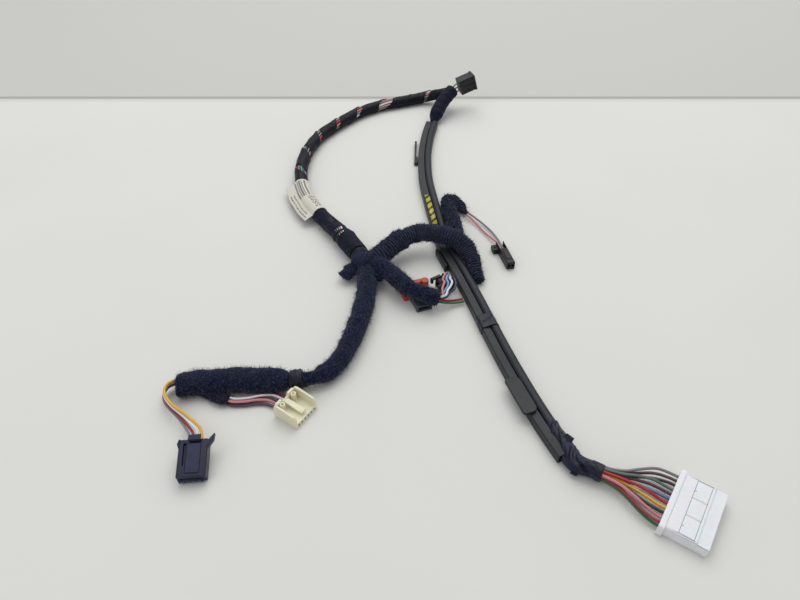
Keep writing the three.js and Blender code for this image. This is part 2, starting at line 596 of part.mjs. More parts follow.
// The padded bundle: a flattened roll with a tapered neck and a blunt end
function padShape(grow) {
  const curve = curveThrough(padRoute);
  const length = curve.getLength();
  const outline = [
    [0, 0], [0.55, 0], [0.8, 0.025], [0.93, 0.08], [1, 0.19], [1, 0.4], [0.97, 0.6], [1, 0.78], [0.95, 0.9],
    [0.9, 0.975], [0.8, 1], [0, 1],
  ];
  const profile = outline.map(([r, share]) => {
    const ends = share === 0 ? -grow : grow * Number(share === 1);
    return new THREE.Vector2(r === 0 ? 0 : r + grow / pad.halfHeight, share * length + ends);
  });
  const straight = new THREE.LatheGeometry(profile, 16).rotateX(Math.PI / 2);
  return solidOf(bend(straight.scale(pad.halfWidth, pad.halfHeight, 1), curve));
}

// The paper label: a sheet folded over the trunk, with a flag that stands off to the right
function buildPaperLabel() {
  const curve = curveThrough(trunkRoute);
  const inner = trunk.radius + gap + 0.25;
  const outer = inner + paper.thickness;
  const left = THREE.MathUtils.degToRad(-20);
  const right = THREE.MathUtils.degToRad(160);
  const shape = new THREE.Shape();
  const tip = (radius) => [
    radius * Math.cos(right) - paper.flag * 0.93, radius * Math.sin(right) - paper.flag * 0.35,
  ];
  shape.moveTo(outer * Math.cos(left), outer * Math.sin(left));
  shape.absarc(0, 0, outer, left, right, false);
  shape.lineTo(...tip(outer));
  shape.lineTo(...tip(inner));
  shape.lineTo(inner * Math.cos(right), inner * Math.sin(right));
  shape.absarc(0, 0, inner, right, left, true);
  const geometry = new THREE.ExtrudeGeometry(
    shape, { depth: paper.length, steps: 9, bevelEnabled: false, curveSegments: 5 },
  );
  addPiece('paper_label', solidOf(bend(geometry, curve, paper.start)), finishOf(finishes.paper));
}

// White plug: two rows of cavities, a rear flange and a lock plate let into its top
function buildWhitePlug() {
  const p = whitePlug;
  const seat = seatOf(seats.white);
  let body = alongX(roundedRect(-p.width / 2, p.width / 2, 0, p.height, p.corner), 0, p.length);
  const flange = roundedRect(-p.flangeWidth / 2, p.flangeWidth / 2, 0, p.flangeHeight, p.corner);
  body = body.add(alongX(flange, 0, p.flangeLength));
  const columns = row(p.ways, p.pitch);
  const halfCavity = p.cavity / 2;
  for (const y of columns) {
    for (const z of p.rowHeights) {
      const low = z - halfCavity;
      const high = z + halfCavity;
      body = body.subtract(block(-1, p.wireDepth, y - halfCavity, y + halfCavity, low, high));
      body = body.subtract(block(p.length - p.pinDepth, p.length + 1, y - halfCavity, y + halfCavity, low, high));
    }
  }
  const lockHalf = p.width / 2 - p.lockEdge;
  const lockEnd = p.lockStart + p.lockLength;
  const lockFloor = p.height - p.lockDepth;
  body = body.subtract(block(p.lockStart, lockEnd, -lockHalf, lockHalf, lockFloor, p.height + 1));
  // The nose is a little lower, behind a bevel
  const nose = polygon([
    [p.length - p.noseLength, p.height], [p.length - p.noseLength + p.noseStep, p.height - p.noseStep],
    [p.length + 1, p.height - p.noseStep], [p.length + 1, p.height + 1], [p.length - p.noseLength, p.height + 1],
  ]);
  body = body.subtract(alongY(nose, -p.width, p.width));
  addPiece('white_plug_housing', body, finishOf(finishes.white), seat);

  const plateHalf = lockHalf - gap;
  let plate = block(p.lockStart + gap, lockEnd - gap, -plateHalf, plateHalf, lockFloor + gap, p.height);
  for (const y of [-plateHalf / 3, plateHalf / 3]) {
    const groove = polygon([
      [y - p.lockGroove / 2, p.height + 0.1], [y - p.lockGroove / 4, p.height - p.grooveDepth],
      [y + p.lockGroove / 4, p.height - p.grooveDepth], [y + p.lockGroove / 2, p.height + 0.1],
    ]);
    plate = plate.subtract(alongX(groove, p.lockStart, lockEnd));
  }
  addPiece('white_plug_lock', plate, finishOf(finishes.white), seat);
  return seat;
}

// Fourteen leads: four columns in the bundle's end fan out to eleven upper and three lower cavities
function buildWhiteLeads(seat) {
  const curve = curveThrough([...coreNearRoute].reverse());
  const end = frameAt(curve, 1);
  const columns = row(whitePlug.ways, whitePlug.pitch);
  const [lower, upper] = whitePlug.rowHeights;
  const packing = wire.diameter + gap;
  const sheaf = [
    ['grey', 1.5, 1, 10, upper], ['brown', 1.5, 0, 9, upper], ['black', 1.5, -1, 8, upper],
    ['green', 0.5, 1.5, 7, upper], ['violet', 0.5, 0.5, 6, upper], ['blue', 0.5, -0.5, 5, upper],
    ['white', 0.5, -1.5, 6, lower],
    ['red', -0.5, 1.5, 4, upper], ['yellow', -0.5, 0.5, 3, upper], ['black', -0.5, -0.5, 2, upper],
    ['cream', -0.5, -1.5, 3, lower],
    ['pink', -1.5, 1, 1, upper], ['crimson', -1.5, 0, 0, upper], ['leaf', -1.5, -1, 0, lower],
  ];
  sheaf.forEach(([colour, across, height, column, z], i) => {
    const start = end.centre.clone()
      .addScaledVector(end.forward, gap)
      .addScaledVector(end.left, across * packing)
      .add(new THREE.Vector3(0, 0, height * packing));
    const entry = { y: columns[column], z };
    const points = easedLead(start.toArray(), end.forward.clone().setZ(0).normalize(), seat, entry, 2);
    lead(`white_plug_wire_${String(i + 1).padStart(2, '0')}`, points, colour);
  });
}

// Navy plug: a raised panel, a side groove, rear wings and slots in a low lip
function buildNavyPlug() {
  const p = navyPlug;
  const seat = seatOf(seats.navy);
  const half = p.width / 2;
  let body = alongX(roundedRect(-half, half, 0, p.height, p.corner), 0, p.length);
  const panelHalf = p.panelWidth / 2;
  const panel = polygon([
    [p.panelShift - panelHalf, p.height - 0.2], [p.panelShift + panelHalf, p.height - 0.2],
    [p.panelShift + panelHalf - 0.3, p.height + p.panelRise], [p.panelShift - panelHalf + 0.3, p.height + p.panelRise],
  ]);
  body = body.add(alongX(panel, p.length - 1.4 - p.panelLength, p.length - 1.4));
  const grooveRight = p.panelShift - panelHalf - 0.3;
  body = body.subtract(
    block(1.8, p.length - 5, grooveRight - p.groove, grooveRight, p.height - p.grooveDepth, p.height + 1),
  );
  const lipMid = -(p.width - p.lipWidth) / 2 + 0.2;
  const lipShape = roundedRect(lipMid - p.lipWidth / 2, lipMid + p.lipWidth / 2, p.lipFoot, p.lipHeight, 0.3);
  body = body.add(alongX(lipShape, p.length - 0.2, p.length + p.lipLength));
  for (const y of row(p.ways, p.pitch)) {
    const low = (p.lipFoot + p.lipHeight) / 2 - p.slotHeight / 2;
    const mid = lipMid + y;
    body = body.subtract(
      block(p.length - p.pinDepth, p.length + 2, mid - p.cavity / 2, mid + p.cavity / 2, low, low + p.slotHeight),
    );
  }
  const middleZ = p.height / 2;
  for (const y of row(p.ways, p.wirePitch)) {
    body = body.subtract(block(-1, p.wireDepth, y - 0.92, y + 0.92, middleZ - 1, middleZ + 1));
  }
  // Rear wings: a pointed one on the right and a longer one with a spike on the left
  const rightWing = polygon([[-0.8, -half + 0.2], [1.6, -half - p.wingReach * 0.35], [p.wingLength, -half + 0.2]]);
  const leftWing = polygon([
    [p.wingLength, half - 0.2], [0.8, half - 0.2], [-0.6, half + p.wingReach * 0.3], [-2.6, half + p.wingReach],
    [0.6, half + p.wingReach * 0.85],
  ]);
  body = body.add(alongZ(rightWing, p.height - 3.4, p.height - 0.5));
  body = body.add(alongZ(leftWing, p.height - 2.8, p.height - 0.3));
  addPiece('navy_plug_housing', body, finishOf(finishes.navy), seat);

  // The retainer is a low arch over the leads, behind the panel
  const low = p.height + gap;
  const arched = polygon([
    [-1.8, low], [-1.8, low + 0.7], [-1.1, low + p.archRise], [0.9, low + p.archRise], [1.4, low + 0.8], [1.4, low],
  ]);
  const bridge = alongY(arched, p.panelShift - panelHalf + 0.9, p.panelShift + panelHalf - 0.3);
  addPiece('navy_plug_retainer', bridge, finishOf(finishes.navy), seat);
  return seat;
}

function buildNavyLeads(seat) {
  const p = navyPlug;
  const ways = row(p.ways, p.wirePitch);
  const middleZ = p.height / 2;
  const curve = curveThrough([...navyRibbon, benchPoint(seat, -3.2, 0, middleZ), benchPoint(seat, 2, 0, middleZ)]);
  ['grey', 'crimson', 'white', 'yellow'].forEach((colour, i) => {
    const points = ribbonPoints(curve, ways[i], { twist: 72, flatten: [0.4, 0.92], until: 0.86, count: 10 });
    points.push(benchPoint(seat, -0.6, ways[i], middleZ), benchPoint(seat, 2, ways[i], middleZ));
    lead(`navy_plug_wire_${i + 1}`, points, colour);
  });
}

// Cream plug: a shroud open at the top and front, with ear posts and a latch arm over its base
function buildCreamPlug() {
  const p = creamPlug;
  const seat = seatOf(seats.cream);
  const half = p.width / 2;
  let body = block(0, p.length, -half, half, 0, p.base);
  const wallSide = new THREE.Shape();
  wallSide.moveTo(0, 0);
  wallSide.lineTo(p.length, 0);
  wallSide.lineTo(p.length, p.height - 1.6);
  wallSide.lineTo(p.length - 1.2, p.height);
  wallSide.lineTo(p.corner + 1.6, p.rearHeight);
  wallSide.lineTo(p.corner, p.rearHeight);
  wallSide.absarc(p.corner, p.rearHeight - p.corner, p.corner, Math.PI / 2, Math.PI);
  wallSide.lineTo(0, 0);
  body = body.add(alongY(wallSide, half - p.wall, half));
  body = body.add(alongY(wallSide, -half, -half + p.wall));
  const rearWall = new THREE.Shape();
  rearWall.moveTo(-half, 0);
  rearWall.lineTo(half, 0);
  rearWall.lineTo(half, p.rearHeight - p.corner);
  rearWall.lineTo(half - 1.8, p.rearHeight - 0.4);
  rearWall.lineTo(2.4, p.rearHeight - 0.4);
  rearWall.absarc(0, p.rearHeight - 0.4, 2.4, 0, Math.PI, true);
  rearWall.lineTo(-half + 1.8, p.rearHeight - 0.4);
  rearWall.lineTo(-half, p.rearHeight - p.corner);
  body = body.add(alongX(rearWall, 0, p.wall + 0.3));
  for (const y of [-p.postOffset, p.postOffset]) {
    const x = p.wall + 0.2 + p.postRadius;
    body = body.add(post(x, y, p.base - 0.2, p.postHeight, p.postRadius));
    body = body.subtract(post(x, y, p.postHeight - 1.6, p.postHeight + 1, p.postRadius * 0.45));
  }
  const arm = polygon([
    [p.wall - 0.3, p.base - 0.2], [p.wall + 1.2, p.base - 0.2], [p.wall + 2, p.armRise - p.armThickness],
    [p.length - 2.6, p.base + 0.9], [p.length - 1.4, p.base + 0.9], [p.length - 1.4, p.base + 0.9 + p.hook],
    [p.length - 2.6, p.base + 0.9 + p.hook], [p.length - 3.2, p.base + 0.9 + p.armThickness],
    [p.wall + 2, p.armRise], [p.wall - 0.3, p.armRise],
  ]);
  body = body.add(alongY(arm, -p.armWidth / 2, p.armWidth / 2));
  for (const y of row(p.ways, p.pitch)) {
    const low = p.base / 2 - p.slotHeight / 2;
    const width = p.slotWidth / 2;
    body = body.subtract(block(p.length - p.pinDepth, p.length + 1, y - width, y + width, low, low + p.slotHeight));
  }
  for (const y of row(5, p.wirePitch)) {
    body = body.subtract(block(-1, p.wireDepth, y - 0.92, y + 0.92, p.base / 2 - 1, p.base / 2 + 1));
  }
  addPiece('cream_plug_housing', body, finishOf(finishes.cream), seat);
  return seat;
}

function buildCreamLeads(seat) {
  const p = creamPlug;
  const ways = row(5, p.wirePitch);
  const end = frameAt(curveThrough(sleeveRoute), 1);
  const packing = 0.9;
  const rowHeights = [1.2, 3];
  ['violet', 'pink', 'brown', 'white', 'crimson'].forEach((colour, i) => {
    const start = end.centre.clone().addScaledVector(end.forward, gap).addScaledVector(end.left, (i - 2) * packing);
    start.z = rowHeights[i % 2];
    const points = easedLead(start.toArray(), end.forward.clone().setZ(0).normalize(), seat, { y: ways[i], z: p.base / 2 }, 1.8);
    lead(`cream_plug_wire_${i + 1}`, points, colour);
  });
}

// Small plug: a slim two-way housing with a hood over its leads and a wing with an eye
function buildSmallPlug() {
  const p = smallPlug;
  const seat = seatOf(seats.small);
  const half = p.width / 2;
  let body = alongX(roundedRect(-half, half, 0, p.height, p.corner), 0, p.length);
  body = body.subtract(block(-1, p.hoodLength, -half + p.hoodWall, half - p.hoodWall, p.height / 2 - 0.8, p.height + 1));
  for (const y of row(2, p.pitch)) {
    body = body.subtract(block(p.length - p.pinDepth, p.length + 1, y - 0.7, y + 0.7, p.height / 2 - 0.85, p.height / 2 + 0.85));
  }
  const step = polygon([[p.hoodLength + 2, p.height], [p.length - 3, p.height], [p.length - 3.5, p.height + 0.5], [p.hoodLength + 3, p.height + 0.5]]);
  body = body.add(alongY(step, -half + 1, half - 1));
  let wing = block(0.6, 0.6 + p.wingLength, -half - p.wingWidth, -half + 0.3, 0.4, 0.4 + p.wingHeight);
  wing = wing.subtract(post(0.6 + p.wingLength / 2, -half - p.wingWidth / 2, 0, p.wingHeight + 1, p.eye / 2));
  body = body.add(wing);
  addPiece('small_plug_housing', body, finishOf(finishes.black), seat);
  return seat;
}

function buildSmallLeads(seat) {
  const p = smallPlug;
  const lift = p.height / 2 - 0.8 + gap + wire.diameter / 2;
  const ways = row(2, wire.diameter + 0.2);
  smallPlugLoops.forEach((loop, i) => {
    const across = ways[1 - i];
    const points = [...loop, benchPoint(seat, -1.5, across, lift), benchPoint(seat, p.hoodLength - gap, across, lift)];
    lead(`small_plug_wire_${i + 1}`, points, i === 0 ? 'grey' : 'pink');
  });
}

// Far plug: a ribbed housing with two rows of openings in its nose
function buildFarPlug() {
  const p = farPlug;
  const seat = seatOf(seats.far);
  const half = p.width / 2;
  let body = alongX(roundedRect(-half, half, 0, p.height, p.corner), 0, p.length);
  const collar = roundedRect(-half - p.collarGrow, half + p.collarGrow, -p.collarGrow, p.height + p.collarGrow, p.corner);
  body = body.add(alongX(collar, p.length - p.collarLength, p.length));
  for (const y of row(p.ribs, p.width / p.ribs)) {
    body = body.add(block(3, p.length - 1, y - 0.5, y + 0.5, p.height - 0.3, p.height + p.ribRise));
  }
  for (const y of row(p.columns, p.pitch)) {
    for (const z of row(p.rows, p.rowPitch)) {
      const middleZ = p.height / 2 + z;
      const width = p.cavity / 2;
      body = body.subtract(
        block(p.length - p.pinDepth, p.length + 1, y - width, y + width, middleZ - width, middleZ + width),
      );
    }
    body = body.subtract(block(-1, p.wireDepth, y - 1, y + 1, p.height / 2 - 1, p.height / 2 + 1));
  }
  addPiece('far_plug_housing', body, finishOf(finishes.black), seat);
  return seat;
}

function buildFarLeads(seat) {
  const p = farPlug;
  const start = frameAt(curveThrough(coreFarRoute), 1);
  ['teal', 'grey', 'pink'].forEach((colour, i) => {
    const across = row(p.columns, p.pitch)[2 - i];
    const begin = start.centre.clone()
      .addScaledVector(start.forward, gap * 2)
      .addScaledVector(start.rise, across * 0.75);
    lead(`far_plug_wire_${i + 1}`, [
      begin.toArray(), benchPoint(seat, -0.8, across, p.height / 2), benchPoint(seat, 1.8, across, p.height / 2),
    ], colour);
  });
}

// Hook plug: a small housing with an L-shaped arm on each side, two pins, and leads that drop into its top
function buildHookPlug() {
  const p = hookPlug;
  const seat = seatOf(seats.hook);
  const half = p.width / 2;
  let body = alongX(roundedRect(-half, half, 0, p.height, p.corner), 0, p.length);
  const armTop = p.height + 1;
  const arm = polygon([
    [p.length - 3, p.height - 1], [p.length - 3, armTop], [p.length + p.armReach, armTop],
    [p.length + p.armReach, armTop - p.armDrop], [p.length + p.armReach - p.armThickness, armTop - p.armDrop],
    [p.length + p.armReach - p.armThickness, armTop - p.armThickness], [p.length - 1, armTop - p.armThickness],
    [p.length - 1, p.height - 1],
  ]);
  body = body.add(alongY(arm, half - p.armWidth, half));
  body = body.add(alongY(arm, -half, -half + p.armWidth));
  body = body.add(post(p.length * 0.5, -3, p.height - 0.3, p.height + p.pinHeight, p.pinRadius));
  body = body.add(post(p.length * 0.75, -0.6, p.height - 0.3, p.height + p.pinHeight, p.pinRadius));
  const slotHalf = p.slotWidth / 2;
  body = body.subtract(
    block(p.slotInset - slotHalf, p.slotInset + slotHalf, -half + 0.4, half - 0.4, p.height - p.wireDepth, p.height + 1),
  );
  body = body.subtract(block(p.length - 3, p.length + 1, -half + 1, half - 1, 1.4, 4.4));
  addPiece('hook_plug_housing', body, finishOf(finishes.black), seat);
  return seat;
}

function buildMiddleLeads(seat) {
  const p = hookPlug;
  const end = frameAt(curveThrough(middleRoute), 1);
  const ways = row(4, p.wirePitch);
  const packing = (wire.diameter + 0.4) / 2;
  const begin = end.centre.clone().addScaledVector(end.forward, gap * 2).addScaledVector(end.rise, 1.2);
  const slotMiddle = new THREE.Vector3(...benchPoint(seat, p.slotInset, 0, p.height));
  const curve = curveThrough([
    begin.toArray(), begin.clone().addScaledVector(end.forward, 1.4).toArray(), ...hookTurn,
    ...hookDrop.map(([x, y, z]) => [slotMiddle.x + x, slotMiddle.y + y, slotMiddle.z + z]),
  ]);
  // They leave the branch two above two, spread into a row, and drop into the slot
  const sheaf = [['navyBlue', -1, -1], ['white', -1, 1], ['sky', 1, -1], ['pink', 1, 1]];
  sheaf.forEach(([colour, across, height], i) => {
    const points = [0, 0.14, 0.3, 0.46, 0.6, 0.74].map((share) => {
      const { centre, left, rise } = frameAt(curve, share);
      const spread = THREE.MathUtils.smoothstep(share, 0.05, 0.5);
      const level = 1 - THREE.MathUtils.smoothstep(share, 0.4, 0.8);
      const aside = THREE.MathUtils.lerp(across * packing, ways[i], spread);
      return centre.addScaledVector(left, aside).addScaledVector(rise, height * packing * level).toArray();
    });
    const [x, y, z] = benchPoint(seat, p.slotInset, ways[3 - i], p.height);
    const last = points[points.length - 1];
    points.push([x + (last[0] - x) * 0.25, y + (last[1] - y) * 0.25, z + 2.5], [x, y, z + 0.8], [x, y, z - 1.6]);
    lead(`hook_plug_wire_${i + 1}`, points, colour);
  });
  ['red', 'leaf'].forEach((colour, i) => {
    const exit = end.centre.clone().addScaledVector(end.forward, gap)
      .addScaledVector(end.left, 1 - i * 2).addScaledVector(end.rise, -1.9);
    lead(`protector_wire_${i + 1}`, [exit.toArray(), ...protectorWireRoutes[i]], colour);
  });
}

// Lock plug: a flat housing under the middle branch, with a lever slide round its rear
function buildLockPlug() {
  const p = lockPlug;
  const seat = seatOf(seats.lock);
  const half = p.width / 2;
  let body = alongX(roundedRect(-half, half, 0, p.height, p.corner), 0, p.length);
  body = body.add(alongX(roundedRect(-half, -half + p.railWidth, p.height - 1, p.height + p.railRise, 0.3), 1, p.length));
  body = body.subtract(block(p.length - 3, p.length + 1, -half + 1.2, half - 1.2, 1, 3.2));
  addPiece('lock_plug_housing', body, finishOf(finishes.slate), seat);

  const inner = -half - gap;
  let slide = alongZ(roundedRect(p.barRear, p.armFront, inner - p.armWidth, inner, 0.8), 0, p.armHeight);
  slide = slide.add(alongZ(
    roundedRect(p.barRear, p.barRear + p.barWidth, inner - p.armWidth, p.barEnd, 0.8), 0, p.armHeight - 0.4,
  ));
  const knobX = p.barRear + p.knobRadius + 1.2;
  slide = slide.add(post(knobX, p.barEnd - p.knobRadius, 0, p.knobHeight, p.knobRadius));
  addPiece('lock_plug_slide', slide, finishOf(finishes.orange), seat);
}

// The space of the lock plug's housing with clearance, kept free by the branch above it
function lockClear() {
  const p = lockPlug;
  const half = p.width / 2 + gap;
  const seat = seatOf(seats.lock);
  const space = block(-gap, p.length + gap, -half, half, -1, p.height + p.railRise + gap);
  return space.transform(seat.matrixWorld.elements);
}

buildProtector();
buildBranches();
buildPaperLabel();
buildWhiteLeads(buildWhitePlug());
buildNavyLeads(buildNavyPlug());
buildCreamLeads(buildCreamPlug());
buildSmallLeads(buildSmallPlug());
buildFarLeads(buildFarPlug());
buildMiddleLeads(buildHookPlug());
buildLockPlug();

group.position.set(-benchOrigin.x, -benchOrigin.y, 0);

export default group;
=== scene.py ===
"""Looks of a vehicle wiring harness: leads, taped trunk, fleece branches, wire protector and plugs."""

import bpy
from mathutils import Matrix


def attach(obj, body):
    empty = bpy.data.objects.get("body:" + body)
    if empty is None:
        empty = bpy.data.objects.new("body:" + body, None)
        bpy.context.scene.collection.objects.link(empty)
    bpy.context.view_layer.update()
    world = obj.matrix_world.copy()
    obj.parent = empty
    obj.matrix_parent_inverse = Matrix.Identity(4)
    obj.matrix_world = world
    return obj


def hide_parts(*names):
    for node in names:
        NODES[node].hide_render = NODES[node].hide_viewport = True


bl_info = {
    "name": "Wiring harness looks",
    "version": (1, 0, 0),
    "blender": (4, 5, 0),
    "location": "View3D > Sidebar > Harness",
    "description": "Builds the visible pieces of a wiring harness over its CAD solids",
    "category": "Object",
}

import math

import bmesh
import bpy
import numpy as np
from mathutils import Vector

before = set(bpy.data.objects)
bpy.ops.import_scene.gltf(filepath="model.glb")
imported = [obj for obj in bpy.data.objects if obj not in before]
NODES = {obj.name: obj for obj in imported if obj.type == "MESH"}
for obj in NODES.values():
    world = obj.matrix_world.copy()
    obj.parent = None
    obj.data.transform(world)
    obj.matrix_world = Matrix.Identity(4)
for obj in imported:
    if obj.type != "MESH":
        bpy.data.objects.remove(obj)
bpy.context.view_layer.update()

MM = 0.001
BENCH_ORIGIN = np.array([11.0, 321.2, 0.0])
GAP = 0.3
UP = np.array([0.0, 0.0, 1.0])

# Routes of the centre lines on the bench, in millimetres, as the solids have them
PROTECTOR_ROUTE = [
    (73.4, 163, 3.4), (68, 176.2, 3.4), (63, 190, 3.4), (57.9, 206, 3.4), (52.1, 226, 3.4), (46.3, 248, 3.4),
    (41.6, 266, 3.4), (37.2, 282, 3.4), (32.3, 299, 3.4), (27.2, 317, 3.4), (23.6, 342, 3.4),
    (20.4, 368, 3.4),
    (18.2, 391, 3.4), (18, 412, 3.4), (18.7, 429, 3.4), (20.3, 445, 3.4), (22.6, 461, 3.4), (25.6, 476, 3.4),
]
CORE_FAR = [(28.4, 484, 5.6), (31.6, 491.6, 8.9), (36.4, 500.2, 12.9), (43, 508.2, 16.9)]
CORE_NEAR = [(85.5, 153.8, 4.6), (80.6, 156.4, 4.3), (76, 158.9, 3.9)]
TRUNK_ROUTE = [
    (40.2, 508.6, 15), (36.8, 514.6, 11.6), (31.5, 519, 8.8), (25, 521, 6.6), (17, 520, 5.2), (8, 516.6, 4.9),
    (-2, 512.6, 4.8), (-17, 506, 4.8), (-33, 494, 4.8), (-49, 474, 4.8), (-62, 453, 4.8), (-69.2, 428, 4.8),
    (-70.6, 403, 4.8), (-68.6, 386, 4.8), (-65, 371, 5), (-58.4, 355.6, 5.2), (-49.4, 341.4, 5.4),
    (-40.4, 328.6, 5.8), (-32.4, 316.4, 6.2), (-25.6, 304.6, 6.4), (-22.6, 299, 6.5),
]
KNOT_OVER = [(-24.6, 296.6, 7.4), (-21.6, 292.6, 8.2), (-18.4, 288.4, 8.2)]
KNOT_ROUTE = [(-24, 301.8, 6.5), (-21.4, 296, 6.5), (-19.4, 289.4, 6.5)]
DOWN_ROUTE = [
    (-20.4, 292.6, 6.4), (-19, 283, 6.2), (-18.8, 272, 6), (-19.6, 259, 5.9), (-22.3, 244, 5.7),
    (-25.8, 230, 5.6), (-30, 218.4, 5.6), (-35.6, 210, 5.6), (-42.4, 206, 5.6), (-49, 205, 5.6),
    (-55, 204.9, 5.6),
]
PAD_ROUTE = [(-54.4, 204.8, 4.9), (-66, 205.2, 4.9), (-80, 205.2, 4.9), (-94, 204, 4.9), (-107.4, 201.6, 4.9)]
SLEEVE_ROUTE = [(-99, 201.4, 3.6), (-92, 198.4, 2.9), (-86.4, 196, 2.7), (-81.6, 194.8, 2.6)]
ARCH_ROUTE = [
    (-18, 293.4, 8.4), (-13.4, 295.4, 9.8), (-8.4, 299.6, 11), (-2, 307, 12.2), (4.8, 311.5, 13.2),
    (12, 313.8, 13.9), (21, 313, 14), (28.4, 311.2, 13.5), (34.6, 308.8, 12.2), (39.4, 305, 9),
    (42.4, 299, 6), (43.9, 292, 4.6), (45, 286, 3.7), (45.9, 281.6, 3.2),
]
SIDE_ROUTE = [
    (34.2, 314.6, 9.8), (34.2, 321, 9.3), (33.8, 331, 8.4), (33, 341, 7.2), (31.9, 350, 6.1),
    (31.3, 356, 5.4)
]
TWIG_ROUTE = [
    (31.1, 356.4, 5), (31, 361.2, 4.6), (32.4, 365.2, 4.2), (35.8, 365.4, 4), (38.6, 361.4, 3.8),
    (41, 355.6, 3.6),
    (43.4, 350.4, 3.4),
]
MIDDLE_ROUTE = [
    (-16.6, 293, 8.6), (-10.4, 287.2, 9.4), (-4.4, 279.4, 9.9), (1.6, 271.6, 9.9), (7.4, 266.2, 9.8),
    (13.8, 262.9, 9.3), (21.4, 261.6, 7.8),
]
NAVY_RIBBON = [
    (-108.5, 204.3, 4.8), (-110.8, 203.2, 4.7), (-112.6, 200.4, 4.6), (-112.6, 196.8, 4.5),
    (-110.4, 192.6, 4.6),
    (-106.6, 188.4, 4.8), (-102.4, 184.6, 5.2), (-98.6, 180.8, 6),
]
GREY_LOOP = [(44.9, 350.4, 3.4), (49, 346.3, 2.4), (54.4, 339.4, 1.6), (58.6, 331.2, 1.6), (60.6, 324.6, 2.2)]
PINK_LOOP = [(43.6, 348.4, 3.4), (46.4, 345.2, 2.6), (50.4, 338.4, 1.6), (54.6, 329.8, 1.6), (58, 323.4, 2.2)]
HOOK_TURN = [(25.6, 266.4, 9.4), (28, 271, 10.4)]
HOOK_DROP = [(-1.4, -3.4, 3.7), (0, 0, 3.2)]
PROTECTOR_LEADS = [
    [(26, 263.6, 4.2), (30.4, 265.4, 2.8), (35, 267.2, 2.2)],
    [(26, 261.7, 4.2), (30.4, 263.4, 2.8), (35.6, 265.1, 2.2)],
]

# Radii of the bundles along their routes: share of the length and millimetres
TRUNK_RADII = [(0, 4.1), (0.03, 4.5), (0.8, 4.5), (0.9, 5.6), (1, 5.6)]
KNOT_RADII = [(0, 5.6), (0.25, 6.6), (0.4, 6.1), (0.55, 6.6), (0.7, 6.1), (0.85, 6.6), (1, 5.6)]
DOWN_RADII = [(0, 5.4), (0.42, 5.4), (0.75, 4.6), (0.83, 4.6), (0.87, 3.5), (1, 3.5)]
MIDDLE_RADII = [(0, 4.7), (0.25, 5.2), (0.5, 4.9), (0.75, 4.2), (0.92, 4.6), (1, 3.9)]
ARCH_RADII = [(0, 5.5), (0.2, 5.6), (0.285, 6.0), (0.298, 4.9), (0.72, 5.0), (0.84, 4.2), (1, 2.6)]
PAD_OUTLINE = [
    (0, 0.0), (0, 0.55), (0.025, 0.8), (0.08, 0.93), (0.19, 1), (0.4, 1), (0.6, 0.97), (0.78, 1), (0.9, 0.96),
    (0.985, 0.95), (1, 0.86), (1, 0),
]

# Plug seats: the middle of the lower rear edge, the mating direction, the tilt and the roll
SEATS = {
    "white": ((111.2, 141.4, 0), -34.5, 0, 0),
    "navy": ((-90.1, 168.2, 4.25), -84.7, -14, 0),
    "cream": ((-54.7, 192.9, 0), -33, 0, 0),
    "small": ((61.4, 317, 0.2), -78, 0, 0),
    "far": ((47, 514.4, 19.6), 18, 17, 90),
    "hook": ((29.6, 281.4, 0.2), 212, 0, 0),
    "lock": ((9.4, 271.4, 0), -70, 0, 0),
}

# Leads of the white plug: colour, place across and up in the sheaf, column and row in the plug
WHITE_LEADS = [
    ("grey", 1.5, 1, 10, 4.2), ("brown", 1.5, 0, 9, 4.2), ("black", 1.5, -1, 8, 4.2),
    ("green", 0.5, 1.5, 7, 4.2),
    ("violet", 0.5, 0.5, 6, 4.2), ("blue", 0.5, -0.5, 5, 4.2), ("white", 0.5, -1.5, 6, 1.7),
    ("red", -0.5, 1.5, 4, 4.2), ("yellow", -0.5, 0.5, 3, 4.2), ("black", -0.5, -0.5, 2, 4.2),
    ("cream", -0.5, -1.5, 3, 1.7), ("pink", -1.5, 1, 1, 4.2), ("crimson", -1.5, 0, 0, 4.2),
    ("leaf", -1.5, -1, 0, 1.7),
]
NAVY_LEADS = ["grey", "crimson", "white", "yellow"]
CREAM_LEADS = ["violet", "pink", "brown", "white", "crimson"]
FAR_LEADS = ["teal", "grey", "pink"]
HOOK_LEADS = [("navy", -1, -1), ("white", -1, 1), ("sky", 1, -1), ("pink", 1, 1)]

# Trunk wires round the ring, and the tape's turns: place along the trunk and open gap there, in millimetres
RING_WIRES = ["pink", "white", "grey", "pink", "red", "grey", "grey", "violet", "teal", "grey", "red", "teal"]
TAPE_TURNS = [
    (-8, 0), (9, 0), (23, 4.6), (42, 0), (61, 12), (90, 5.8), (115.6, 5.4), (141, 5.8), (167, 6.6),
    (196, 7.5),
    (222, 0), (249, 0), (274.5, 0), (281, 0), (287, 0), (293, 0), (299, 0), (305.4, 0), (312, 0),
]


def srgb(red, green, blue):
    """The linear colour of a screen colour."""
    def linear(value):
        value /= 255
        return value / 12.92 if value <= 0.04045 else ((value + 0.055) / 1.055) ** 2.4
    return (linear(red), linear(green), linear(blue), 1.0)


def colour(name, description, red, green, blue):
    """A colour that a user may change."""
    return bpy.props.FloatVectorProperty(
        name=name, description=description, subtype="COLOR", size=4, min=0, max=1,
        default=srgb(red, green, blue)
    )


def millimetres(name, description, default):
    """A length that a user may change."""
    return bpy.props.FloatProperty(name=name, description=description, min=0, default=default)


